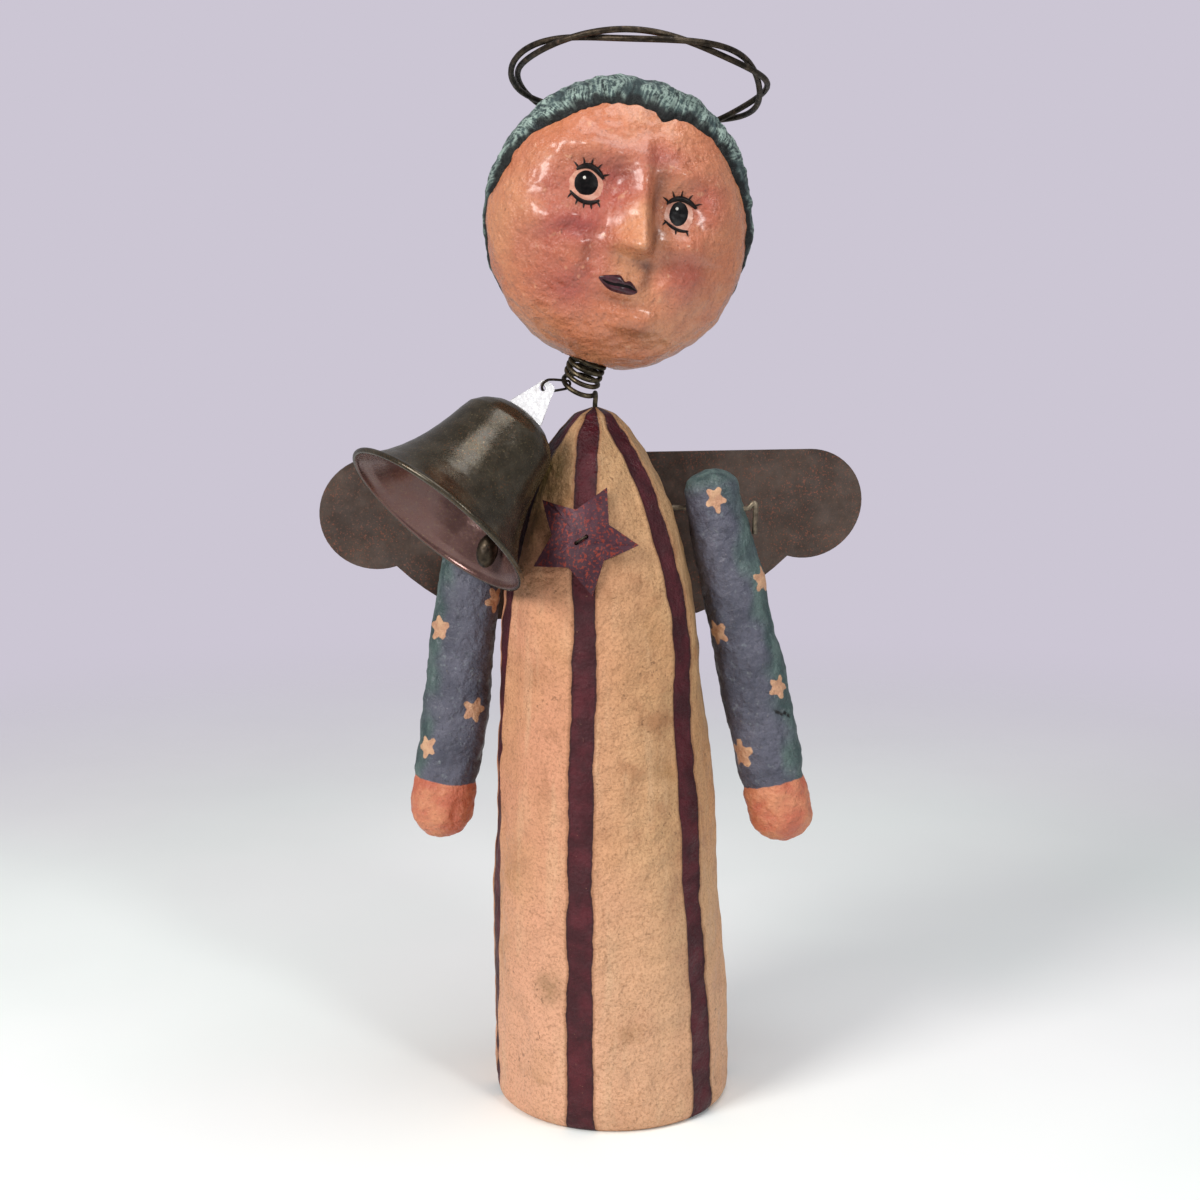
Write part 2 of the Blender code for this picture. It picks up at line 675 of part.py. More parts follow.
wing_outline = wing_half(1) + wing_half(-1)[:0:-1]
wing_faces = []
for lift in (0.0, WING_THICKNESS):
    wing_faces.append([wing_origin + wing_along * x + wing_up * y + wing_out * lift for x, y in wing_outline])
wing_sheet = solid("wing_sheet", loft(wing_faces), TIN)
for name, drop in WING_STAPLE_DROPS.items():
    centre = wing_back - wing_up * drop + wing_out * WING_THICKNESS
    staple(name, centre + wing_out * GAP, wing_along * WING_STAPLE_SPAN, wing_out, WING_STAPLE_WIRE, GREY_WIRE)
    for sign, side in ((-1, "left"), (1, "right")):
        leg = centre + wing_along * sign * WING_STAPLE_SPAN / 2
        for piece in (wing_sheet, body_shell):
            hole = f"{piece.name}_{name}_{side}"
            drill(piece, hole, leg + wing_out * 0.002, leg - wing_out * 0.016, WING_STAPLE_WIRE + WIRE_PLAY)

# Star on the chest, bent part of the way round the body
star_middle = body_point(STAR_HEIGHT, STAR_AZIMUTH)
star_slope = body_point(STAR_HEIGHT + 0.0005, STAR_AZIMUTH) - body_point(STAR_HEIGHT - 0.0005, STAR_AZIMUTH)
star_up = star_slope.normalized()
star_right = Vector((math.cos(STAR_AZIMUTH), math.sin(STAR_AZIMUTH), 0))
star_right = square_to(star_right, star_up)
star_out = star_right.cross(star_up)


def star_point(x, y, lift):
    flat = star_middle + star_right * x + star_up * y + star_out * lift
    z = STAR_HEIGHT + y * star_up.z
    turn = STAR_AZIMUTH + x / body_radius(z)
    outward = Vector((math.sin(turn), -math.cos(turn), 0))
    lean = outward * star_out.xy.length + UP * star_out.z
    wrapped = body_point(z, turn) + lean * lift
    return flat.lerp(wrapped, STAR_BEND)


def star_ring(share, lift):
    corners = []
    for i in range(10):
        turn = STAR_TURN + math.pi * i / 5
        reach = STAR_WAIST if i % 2 else STAR_RADIUS
        corners.append(Vector((math.sin(turn), math.cos(turn))) * reach * share)
    ring = []
    for a, b in zip(corners, corners[1:] + corners[:1]):
        ring += [star_point(*a.lerp(b, part / 3), lift) for part in range(3)]
    return ring


star_low = STAR_STANDOFF
star_high = STAR_STANDOFF + STAR_THICKNESS
star_rings = [star_ring(share, star_low) for share in (0.25, 0.6, 1.0)]
star_rings += [star_ring(share, star_high) for share in (1.0, 0.6, 0.25)]
chest_star = solid("chest_star", loft(star_rings), STAR_TIN)
staple_side = star_right * math.cos(STAR_STAPLE_TURN) + star_up * math.sin(STAR_STAPLE_TURN)
staple_seat = star_middle + star_out * (star_high + GAP)
staple("star_staple", staple_seat, staple_side * STAR_STAPLE_SPAN, star_out, STAR_STAPLE_WIRE, GREY_WIRE)
for sign, side in ((-1, "left"), (1, "right")):
    leg = staple_seat + staple_side * sign * STAR_STAPLE_SPAN / 2
    for piece in (chest_star, body_shell):
        hole = f"{piece.name}_star_staple_{side}"
        drill(piece, hole, leg + star_out * 0.002, leg - star_out * 0.014, STAR_STAPLE_WIRE + WIRE_PLAY)

# Bell: hangs from the spring's open turn on a wire link
out = Vector((math.cos(BELL_AZIMUTH), math.sin(BELL_AZIMUTH), 0))
swing_axis = out.cross(UP)
hang_point = coil_point(HANG_TURN / (2 * math.pi))
ear_hang = hang_point + out * LINK_LENGTH
BELL_SIDES = 40


def bell_radius(height):
    """Outer radius at a height above the mouth."""
    shoulder = BELL_HEIGHT - BELL_CROWN_HEIGHT
    if height < shoulder:
        return BELL_WAIST_RADIUS + BELL_FLARE * math.exp(-height / BELL_FLARE_LENGTH)
    share = (height - shoulder) / BELL_CROWN_HEIGHT
    return bell_radius(shoulder - 1e-9) * math.sqrt(max(0.0, 1 - share * share))


def bell_directions(pitch):
    """The way from crown to mouth, and the way up square to it, of a bell that dips by pitch."""
    return out * math.cos(pitch) - UP * math.sin(pitch), out * math.sin(pitch) + UP * math.cos(pitch)


def bell_crown(along):
    return ear_hang + along * (EAR_LENGTH - EAR_TIP_MARGIN)


def bell_clearance(pitch):
    """Least level distance from the underside of a bell that dips by pitch to the body."""
    along, lift = bell_directions(pitch)
    gaps = []
    for i in range(41):
        height = BELL_HEIGHT * i / 40
        place = bell_crown(along) + along * (BELL_HEIGHT - height) - lift * bell_radius(height)
        gaps.append((place - body_axis(place.z)).length - body_radius(place.z))
    return min(gaps)


def resting_angle(clearance, rest, low, high):
    """The angle at which a clearance that shrinks as the angle grows comes down to rest, found by halving."""
    for _ in range(40):
        middle = (low + high) / 2
        if clearance(middle) > rest:
            low = middle
        else:
            high = middle
    return low


bell_pitch = resting_angle(bell_clearance, BELL_REST, math.radians(20), math.radians(80))
bell_axis, bell_lift = bell_directions(bell_pitch)
ear_right = -math.cos(EAR_TURN) * bell_lift - math.sin(EAR_TURN) * swing_axis
ear_back = math.cos(EAR_TURN) * swing_axis - math.sin(EAR_TURN) * bell_lift
crown = bell_crown(bell_axis)
BELL = Matrix((ear_right, ear_back, -bell_axis)).transposed().to_4x4()
BELL.translation = crown


def bell_ring(height, radius):
    centre = crown + bell_axis * (BELL_HEIGHT - height)
    return circle(centre, ear_right, ear_back, radius, BELL_SIDES)


shoulder = BELL_HEIGHT - BELL_CROWN_HEIGHT
cup_outer = []
for i in range(5):
    turn = math.pi * i / 4
    height = LIP_ROLL * (1 - math.cos(turn))
    cup_outer.append(bell_ring(height, bell_radius(height) + LIP_ROLL * math.sin(turn)))
for i in range(1, 8):
    height = 2 * LIP_ROLL + (shoulder - 2 * LIP_ROLL) * i / 7
    cup_outer.append(bell_ring(height, bell_radius(height)))
cup_inner = []
for i in range(8):
    height = (shoulder - BELL_WALL) * i / 7
    cup_inner.append(bell_ring(height, bell_radius(height) - BELL_WALL))
crown_rim = TONGUE_HALF * 0.4
for i in range(1, 6):
    turn = math.acos(crown_rim / bell_radius(shoulder)) * i / 5
    height = shoulder + BELL_CROWN_HEIGHT * math.sin(turn)
    cup_outer.append(bell_ring(height, bell_radius(shoulder) * math.cos(turn)))
    inner_radius = bell_radius(shoulder) - BELL_WALL
    inner_turn = math.acos(crown_rim / inner_radius) * i / 5
    inner_height = shoulder + (BELL_CROWN_HEIGHT - BELL_WALL) * math.sin(inner_turn)
    cup_inner.append(bell_ring(inner_height, inner_radius * math.cos(inner_turn)))
bell_cup = solid("bell_cup", loft(cup_inner[::-1] + cup_outer), BRONZE, hang_point)


def box(low, high):
    rings = []
    for z in (low[2], high[2]):
        corners = ((low[0], low[1]), (high[0], low[1]), (high[0], high[1]), (low[0], high[1]))
        rings.append([BELL @ Vector((x, y, z)) for x, y in corners])
    return loft(rings)


half_sheet = EAR_SHEET / 2
slot_half = half_sheet + GAP
tongue_y = EAR_SPACING / 2
slot_low = (-TONGUE_HALF - GAP, tongue_y - slot_half, -0.004)
slot_high = (TONGUE_HALF + GAP, tongue_y + slot_half, 0.004)
boolean(bell_cup, solid("tongue_slot", box(slot_low, slot_high), CUTTER), "DIFFERENCE")

# Hanger: front ear, foot and back ear from one strap, with the tongue below the foot
foot_level = GAP + half_sheet
strap = [
    (EAR_SPACING, BACK_EAR_LENGTH, BACK_EAR_HALF * 0.5),
    (EAR_SPACING, BACK_EAR_LENGTH * 0.75, BACK_EAR_HALF * 0.85),
    (EAR_SPACING, foot_level, BACK_EAR_HALF),
    (0.0, foot_level, EAR_FOOT_HALF),
    (0.0, EAR_LENGTH * 0.72, EAR_TIP_HALF * 1.3),
    (0.0, EAR_LENGTH * 0.94, EAR_TIP_HALF),
    (0.0, EAR_LENGTH, EAR_TIP_HALF * 0.6),
]
normals = [(1, 0), (1, 0), (1, 1), (-1, 1), (-1, 0), (-1, 0), (-1, 0)]
strap_rings = []
for (y, z, half), (ny, nz) in zip(strap, normals):
    low = (y - ny * half_sheet, z + nz * half_sheet)
    high = (y + ny * half_sheet, z - nz * half_sheet)
    corners = ((-half, low), (half, low), (half, high), (-half, high))
    strap_rings.append([BELL @ Vector((x, *yz)) for x, yz in corners])
bell_hanger = solid("bell_hanger", loft(strap_rings), BRIGHT_TIN, hang_point)
tongue_low = (-TONGUE_HALF, tongue_y - half_sheet, -TONGUE_LENGTH)
tongue_high = (TONGUE_HALF, tongue_y + half_sheet, foot_level)
boolean(bell_hanger, solid("tongue", box(tongue_low, tongue_high), BRIGHT_TIN), "UNION")

# Link round the spring's wire and through the front ear
link_along = -out
link_face = square_to(-ear_back, link_along)
link_normal = math.cos(LINK_SLANT) * link_face + math.sin(LINK_SLANT) * link_along.cross(link_face)
link_side = link_normal.cross(link_along)
link_path = []
for centre, radius, start in ((hang_point, LINK_COIL_RADIUS, -90), (ear_hang, LINK_EAR_RADIUS, 90)):
    for i in range(9):
        turn = math.radians(start + 22.5 * i)
        link_path.append(centre + radius * (math.cos(turn) * link_along + math.sin(turn) * link_side))
tube("bell_link", link_path, LINK_WIRE, BLACK_WIRE, hang_point, cyclic=True)

trace = link_normal.cross(ear_back).normalized()
trace *= math.copysign(1, trace.dot(bell_axis))
ear_hole = ear_hang + trace * LINK_EAR_RADIUS
drill(bell_hanger, "ear_hole", ear_hole - ear_back * 0.0018, ear_hole + ear_back * 0.0018, EAR_HOLE_RADIUS)
eye = BELL @ Vector((0, tongue_y, -TONGUE_LENGTH + 2.2 * TONGUE_EYE_RADIUS))
drill(bell_hanger, "tongue_eye", eye - ear_back * 0.002, eye + ear_back * 0.002, TONGUE_EYE_RADIUS)

# Clapper: a wire hooked through the tongue, with an oval bob that lies on the bell's lower wall
def clapper_clearance(lean):
    """Least distance from the bob to the wall under it when the clapper leans by lean off the bell's axis."""
    down = math.cos(lean) * bell_axis - math.sin(lean) * bell_lift
    under = -math.sin(lean) * bell_axis - math.cos(lean) * bell_lift
    gaps = []
    for i in range(21):
        turn = math.pi * i / 20
        place = eye + down * (CLAPPER_LENGTH + BOB_LENGTH * (1 - math.cos(turn)) / 2)
        place += under * BOB_RADIUS * math.sin(turn) - crown
        gaps.append(bell_radius(BELL_HEIGHT - place.dot(bell_axis)) - BELL_WALL + place.dot(bell_lift))
    return min(gaps)


clapper_lean = resting_angle(clapper_clearance, CLAPPER_REST, math.radians(5), math.radians(60))
hang_down = math.cos(clapper_lean) * bell_axis - math.sin(clapper_lean) * bell_lift
hook_side = square_to(ear_back, hang_down)
hook_middle = eye + hang_down * (CLAPPER_HOOK_RADIUS - TONGUE_EYE_RADIUS + CLAPPER_WIRE + GAP)
hook = []
for i in range(9):
    turn = math.radians(-120 + 26.25 * i)
    hook.append(hook_middle + CLAPPER_HOOK_RADIUS * (math.sin(turn) * hook_side - math.cos(turn) * hang_down))
shank_top = hook_middle + hang_down * CLAPPER_HOOK_RADIUS * 2
bob_top = eye + hang_down * CLAPPER_LENGTH
shank = [shank_top - hang_down * CLAPPER_WIRE + hook_side * CLAPPER_WIRE, shank_top + hang_down * CLAPPER_WIRE]
shank_end = bob_top + hang_down * BOB_LENGTH * 0.5
tube("clapper_wire", hook + shank + [shank_end], CLAPPER_WIRE, BLACK_WIRE, eye)
bob_first, bob_second = across(hang_down)
BOB_SIDES = 16
bore = CLAPPER_WIRE + WIRE_PLAY
bob_rings = [circle(shank_end + hang_down * GAP, bob_first, bob_second, bore, BOB_SIDES)]
first_turn = math.asin(bore / BOB_RADIUS)
for i in range(8):
    turn = first_turn + (math.pi * 0.95 - first_turn) * i / 7
    place = bob_top + hang_down * BOB_LENGTH * (1 - math.cos(turn)) / 2
    bob_rings.append(circle(place, bob_first, bob_second, BOB_RADIUS * math.sin(turn), BOB_SIDES))
solid("clapper_bob", loft(bob_rings), BRONZE, eye)

for label, place in (
    ("neck pivot", neck_pivot),
    ("right arm pivot", right_pivot),
    ("left arm pivot", left_pivot),
    ("arm wire direction", wire_along),
    ("bell pivot", hang_point),
    ("swing axis", swing_axis),
    ("clapper pivot", eye),
    ("bell crown", crown),
    ("bell axis", bell_axis),
    ("head centre", head_centre),
):
    print(label, [round(value, 5) for value in place])
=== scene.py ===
# %% [markdown]
# # An angel doll in painted papier-mache
#
# The doll is a tall hollow body of pasted paper with a sculpted paper head on a coil spring. Two stuffed
# paper arms hang on one wire, a flat tin wing is stapled to the back, and a small bell hangs at the neck.
# The frame holds its solids and its joints. This lesson dresses them: each soft or hand-made piece is
# modelled again with its lumps and brush marks, and each metal piece gets its rust.

# %% Load the frame and keep its size
import json
import math

import bmesh
import bpy
from mathutils import Matrix, Vector, noise
from mathutils.bvhtree import BVHTree


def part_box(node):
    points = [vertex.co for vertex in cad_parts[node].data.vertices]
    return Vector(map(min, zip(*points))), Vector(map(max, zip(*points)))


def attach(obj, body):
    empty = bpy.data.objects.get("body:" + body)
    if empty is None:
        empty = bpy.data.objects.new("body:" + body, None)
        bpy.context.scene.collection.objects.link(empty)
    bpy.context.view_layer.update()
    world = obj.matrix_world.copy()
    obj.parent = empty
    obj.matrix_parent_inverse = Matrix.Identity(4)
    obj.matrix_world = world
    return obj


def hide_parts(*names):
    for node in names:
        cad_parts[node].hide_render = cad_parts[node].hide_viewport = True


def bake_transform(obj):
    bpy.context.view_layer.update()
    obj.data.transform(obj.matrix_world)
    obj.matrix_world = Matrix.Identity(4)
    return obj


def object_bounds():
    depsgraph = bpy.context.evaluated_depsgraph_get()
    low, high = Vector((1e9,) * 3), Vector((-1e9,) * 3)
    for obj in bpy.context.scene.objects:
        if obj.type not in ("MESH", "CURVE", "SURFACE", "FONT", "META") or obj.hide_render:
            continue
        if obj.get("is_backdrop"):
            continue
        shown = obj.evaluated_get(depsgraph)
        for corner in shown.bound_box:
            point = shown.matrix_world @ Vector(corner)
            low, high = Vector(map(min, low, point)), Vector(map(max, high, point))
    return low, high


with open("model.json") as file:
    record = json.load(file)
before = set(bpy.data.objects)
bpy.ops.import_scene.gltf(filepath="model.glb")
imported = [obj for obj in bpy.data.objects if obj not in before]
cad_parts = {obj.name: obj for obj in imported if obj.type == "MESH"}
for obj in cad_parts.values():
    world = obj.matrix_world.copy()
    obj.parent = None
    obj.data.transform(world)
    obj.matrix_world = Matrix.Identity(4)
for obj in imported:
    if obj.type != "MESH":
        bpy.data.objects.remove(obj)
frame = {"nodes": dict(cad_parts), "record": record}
cad_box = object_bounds()
MM = 0.001
RIGHT, BACK, UP = Vector((1, 0, 0)), Vector((0, 1, 0)), Vector((0, 0, 1))
scene = bpy.context.scene
print("frame:", len(frame["nodes"]), "nodes", [round(value, 4) for corner in cad_box for value in corner])

# %% [markdown]
# ## The camera
#
# The camera comes first, because every later choice is judged through it. It stands a little over half a
# metre in front of the doll, just below the height of its head, and looks slightly down.

# %% Place the camera
CAMERA_PLACE = Vector((-0.0043, -0.640, 0.285))
CAMERA_DIP = math.radians(10.09)
CAMERA_LENS = 58.5
SENSOR_WIDTH = 36
camera = bpy.data.objects.new("camera", bpy.data.cameras.new("camera"))
camera.data.lens = CAMERA_LENS
camera.data.sensor_width = SENSOR_WIDTH
camera.location = CAMERA_PLACE
camera.rotation_euler = (math.radians(90) - CAMERA_DIP, 0, 0)
scene.collection.objects.link(camera)
scene.camera = camera
print("camera:", CAMERA_LENS, "mm lens at", [round(value, 3) for value in CAMERA_PLACE])

# %% [markdown]
# ## Small tools for shapes
#
# Every piece here starts as a simple bmesh: a turned profile, a cube swollen into a ball, or a bent wire.
# Rays cast at the frame's solids give the sizes, so a dressed piece always sits on its solid. The noise
# function gives the soft lumps of hand-pressed paper.

# %% Tools for shapes
def joint(name):
    """Place and axis of one of the frame's joints."""
    found = next(item for item in frame["record"]["behaviour"]["joints"] if item["name"] == name)
    return Vector(found["pos_m"]), Vector(found["axis"]).normalized()


def solid_of(node):
    """A solid of the frame as a tree that rays can be cast at."""
    return BVHTree.FromObject(frame["nodes"][node], bpy.context.evaluated_depsgraph_get())


def reach(tree, start, heading, far=0.3):
    """How far out a solid reaches from start along heading, by a ray that comes in from far away."""
    hit = tree.ray_cast(start + heading * far, -heading)[0]
    return (hit - start).dot(heading)


def clamp(value):
    return min(1.0, max(0.0, value))


def soft_step(value, low, high):
    share = clamp((value - low) / (high - low))
    return share * share * (3 - 2 * share)


def arc(start, end, steps):
    """Pairs of cosine and sine at even steps between two angles in degrees."""
    turns = [math.radians(start + (end - start) * i / steps) for i in range(steps + 1)]
    return [(math.cos(turn), math.sin(turn)) for turn in turns]


def wander(*place):
    """Soft noise from about -1 to 1 at a place given as three numbers."""
    return noise.noise(Vector(place))


def lumps(place, size, seed):
    """The same noise, with bumps about size across."""
    return noise.noise(place / size + Vector((seed, 0, 0)))


def layered(place, rows, seed=0):
    """Lumps of several sizes added up: a row has their height, their size and their own seed."""
    return sum(height * lumps(place, size, seed + own) for height, size, own in rows)

# %% [markdown]
# The next tools work on meshes. A piece modelled in millimetres is set up at its place on the doll at the
# end, and `show` puts every finished mesh on its body and in the place of the solids that it stands for.

# %% Tools for meshes
def outward(bm):
    """Turns the faces of a mesh outward."""
    bmesh.ops.recalc_face_normals(bm, faces=bm.faces)


def turned(profile, steps):
    """A surface turned about Z from pairs of radius and height."""
    bm = bmesh.new()
    points = [bm.verts.new((radius, 0, height)) for radius, height in profile]
    spun = points + [bm.edges.new(pair) for pair in zip(points, points[1:])]
    bmesh.ops.spin(bm, geom=spun, axis=UP, cent=Vector(), angle=2 * math.pi, steps=steps, use_merge=True)
    widest = max(radius for radius, height in profile)
    bmesh.ops.remove_doubles(bm, verts=bm.verts, dist=widest * 1e-4)
    outward(bm)
    return bm


def layers(bm, *names):
    """Places on a mesh that store a number for each vertex."""
    return [bm.verts.layers.float.new(name) for name in names]


def set_up(bm, axes, place):
    """Moves a mesh in millimetres to its place on the doll, its own axes turned to the given ones."""
    turn = Matrix(axes).transposed().to_4x4()
    turn.translation = place
    bmesh.ops.transform(bm, matrix=turn @ Matrix.Scale(MM, 4), verts=bm.verts)
    outward(bm)


def show(name, mesh, material, body, replaced):
    mesh.shade_smooth()
    mesh.materials.append(material)
    obj = bpy.data.objects.new(name, mesh)
    scene.collection.objects.link(obj)
    if body:
        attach(obj, body)
        if replaced:
            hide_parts(*replaced)
        print("made", name, "with", len(mesh.polygons), "faces, on", body)
    return obj


def make_piece(name, bm, material, body, replaced=()):
    mesh = bpy.data.meshes.new(name)
    bm.to_mesh(mesh)
    bm.free()
    return show(name, mesh, material, body, replaced)

# %% [markdown]
# ## Small tools for finishes
#
# All finishes are mixed from noise in the object's own coordinates, so they stay put when the doll moves.
# Painted shapes with clean edges, such as the stripes, are stored on the mesh as a distance in
# millimetres from the edge of the paint. The shader cuts that distance, so the edge is sharp however
# coarse the mesh is.

# %% Tools for finishes
def shade(red, green, blue):
    """A colour given as 0 to 255, in the linear numbers that a shader takes."""
    shares = [value / 255 for value in (red, green, blue)]
    linear = [s / 12.92 if s <= 0.04045 else ((s + 0.055) / 1.055) ** 2.4 for s in shares]
    return (*linear, 1.0)


class Finish:
    """A material being mixed: each method adds nodes and returns the socket that carries the result."""

    def __init__(self, name, specular=0.5):
        self.material = bpy.data.materials.new(name)
        self.material.use_nodes = True
        self.nodes = self.material.node_tree.nodes
        self.shader = self.nodes["Principled BSDF"]
        self.shader.inputs["Specular IOR Level"].default_value = specular
        self.place = self.add("TexCoord", {}).outputs["Object"]

    def feed(self, sockets, values):
        """Gives each named socket a plain value or a link."""
        for key, value in values.items():
            if isinstance(value, bpy.types.NodeSocket):
                self.material.node_tree.links.new(value, sockets[key])
            else:
                sockets[key].default_value = value

    def add(self, kind, values, **settings):
        node = self.nodes.new("ShaderNode" + kind)
        for key, setting in settings.items():
            setattr(node, key, setting)
        self.feed(node.inputs, values)
        return node

    def stretched(self, x, y, z):
        """The coordinates, squeezed so that noise read there is drawn out along an axis."""
        return self.add("VectorMath", {0: self.place, 1: (x, y, z)}, operation="MULTIPLY").outputs[0]

    def grain(self, size, detail=3.0, rough=0.55, place=None):
        """Noise from 0 to 1 with patches about size across."""
        values = {"Vector": place or self.place, "Scale": 1 / size, "Detail": detail, "Roughness": rough}
        return self.add("TexNoise", values).outputs["Fac"]

    def stored(self, name, kind="Fac"):
        """A number, or a set of coordinates, stored on the mesh."""
        return self.add("Attribute", {}, attribute_name=name).outputs[kind]

    def between(self, value, low, high, start=0.0, end=1.0):
        """Goes softly from start to end while value goes from low to high."""
        values = {"Value": value, "From Min": low, "From Max": high, "To Min": start, "To Max": end}
        return self.add("MapRange", values, interpolation_type="SMOOTHSTEP").outputs["Result"]

    def plus(self, first, second, operation="ADD"):
        return self.add("Math", {0: first, 1: second}, operation=operation).outputs[0]

    def minus(self, first, second):
        return self.plus(first, second, "SUBTRACT")

    def times(self, first, second):
        return self.plus(first, second, "MULTIPLY")

    def blend(self, share, *colours):
        """Goes from one colour to another; a plain colour is given as 0 to 255."""
        first, second = [shade(*item) if isinstance(item, tuple) else item for item in colours]
        return self.add("Mix", {0: share, 6: first, 7: second}, data_type="RGBA").outputs[2]

    def over(self, under, colour, value, low, high, most=1.0):
        """Lays a colour over another where value rises from low to high."""
        return self.blend(self.between(value, low, high, 0, most), under, colour)

    def relief(self, height, depth, under=None):
        """A bump whose height of 1 stands depth proud."""
        values = {"Distance": depth, "Height": height}
        if under:
            values["Normal"] = under
        return self.add("Bump", values).outputs["Normal"]

    def bumps(self, *rows):
        """Relief from grain, each row over the one before: size, detail and depth in millimetres."""
        normal = None
        for size, detail, depth in rows:
            normal = self.relief(self.grain(size, detail), depth * MM, normal)
        return normal

    def varnish(self, weight, roughness):
        """A clear coat over the paint."""
        self.feed(self.shader.inputs, {"Coat Weight": weight, "Coat Roughness": roughness})

    def done(self, colour, roughness, normal, metallic=0.0):
        values = {"Base Color": colour, "Roughness": roughness, "Normal": normal, "Metallic": metallic}
        self.feed(self.shader.inputs, values)
        print("mixed", self.material.name, "from", len(self.nodes), "nodes")
        return self.material

# %% [markdown]
# ## The body
#
# The body is a tall cone of pasted paper with a rounded top. It could be a subdivided cylinder, but a
# turned profile is closer to how such a cone is rolled. The radius at each height is measured on the
# solid with rays. The surface is then pushed in and out by noise: broad lumps, long upright waves from
# wrapped strips, and small dents. The painted stripes lie slightly sunk, because the paint was worked
# into a groove. Under the star, the bell and the wing the lumps are pressed flat, so no paper pokes
# through the metal.

# %% Measure the body
body_tree = solid_of("body_shell")
body_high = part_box("body_shell")[1]
disc_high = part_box("base_disc")[1]
FOOT_ROUND = 9 * MM
FOOT_TUCK = 3.7 * MM
SKIN_INSIDE = 4 * MM
LOW_CUT = 20 * MM
HIGH_CUT = 215 * MM


def body_centre(z):
    """Centre of the body at a height, halfway between rays from opposite sides."""
    start = Vector((0, 0, z))
    x, y = ((reach(body_tree, start, way) - reach(body_tree, start, -way)) / 2 for way in (RIGHT, BACK))
    return Vector((x, y, z))


low_centre = body_centre(LOW_CUT)
high_centre = body_centre(HIGH_CUT)
body_lean = (high_centre - low_centre) / (high_centre.z - low_centre.z)


def body_axis(z):
    return low_centre + body_lean * (z - low_centre.z)


def body_radius(z):
    return reach(body_tree, body_axis(z), -RIGHT)


foot_radius = body_radius(FOOT_ROUND)
print("the body leans by", round(body_lean.x, 4), "and is", round(foot_radius * 2 / MM), "mm wide")

# %% [markdown]
# The stripes run from the foot to the neck and wander a little, as hand-drawn lines do. Their distance is
# stored in millimetres: below zero inside the paint, above zero outside.

# %% Draw the stripes
STRIPES = 6
STRIPE_START = -13
STRIPE_WANDER = 3
FRONT_COURSE = ((5, -15.6), (46, -14.5), (113, -12.5), (165, -9), (215, -10), (236, -10))
LEFT_COURSE = ((5, -84), (60, -80), (115, -82), (165, -75), (215, -68), (236, -62))
RIGHT_COURSE = ((5, 49), (76, 48), (123, 51), (162, 53), (195, 49), (220, 48), (236, 40))
STRIPE_HALF = 4.9
STRIPE_THINNING = 0.006
STRIPE_SHARE = 0.30


def course(points, z):
    """Angle of a stripe at a height, by straight runs between measured pairs of height and angle."""
    for (low, first), (high, second) in zip(points, points[1:]):
        if z <= high:
            return first + (second - first) * max(0.0, z - low) / (high - low)
    return points[-1][1]


def stripe_angle(i, z):
    """Angle in degrees, from the front to the right, of stripe i at a height in millimetres."""
    if i < 3:
        return course((FRONT_COURSE, RIGHT_COURSE, LEFT_COURSE)[i], z)
    return STRIPE_START + 360 * (i - 1) / STRIPES + STRIPE_WANDER * wander(z * 0.022, i * 7.3, 0.4)


def stripe_distance(place):
    """Millimetres from the edge of the nearest stripe."""
    spoke = place - body_axis(place.z)
    azimuth = math.degrees(math.atan2(spoke.x, -spoke.y))
    radius = spoke.xy.length / MM
    z = place.z / MM
    turns = [abs((azimuth - stripe_angle(i, z) + 180) % 360 - 180) for i in range(STRIPES)]
    half = STRIPE_HALF - STRIPE_THINNING * z + 0.7 * wander(z / 13, azimuth / 40, 2.2)
    return math.radians(min(turns)) * radius - min(half, STRIPE_SHARE * radius)

# %% [markdown]
# The lumps are sums of noise of several sizes. They stop at both ends of the body, and where metal lies
# close they only go inward.

# %% Press in the lumps
STRIPE_DEPTH = 0.30 * MM
BODY_LUMPS = ((1.2, 0.030, 3), (0.5, 0.006, 5))
BODY_WAVES = ((1.7, 0.013, 9),)
BODY_SINK = 0.75
bell_tree = solid_of("bell_cup")
pressed_on = [bell_tree, solid_of("chest_star"), solid_of("wing_sheet")]


def body_push(place, stripe):
    """How far the hand-pressed surface stands out at a place."""
    upright = Vector((place.x, place.y, place.z * 0.25))
    push = layered(place, BODY_LUMPS) + layered(upright, BODY_WAVES) - BODY_SINK
    push -= 0.9 * soft_step(lumps(place, 0.013, 21), 0.42, 0.8)
    push += 0.30 * math.exp(-((stripe - 0.9) / 0.6) ** 2)
    near = min(tree.find_nearest(place)[3] for tree in pressed_on)
    push = min(push, 0.0) + max(push, 0.0) * soft_step(near, 1.5 * MM, 6 * MM)
    groove = 1 - soft_step(stripe, -0.7, 0.3)
    ends = soft_step(place.z, 0.5 * MM, 9 * MM) * soft_step(body_high.z - place.z, 0.5 * MM, 6 * MM)
    return (push * MM - groove * STRIPE_DEPTH) * ends
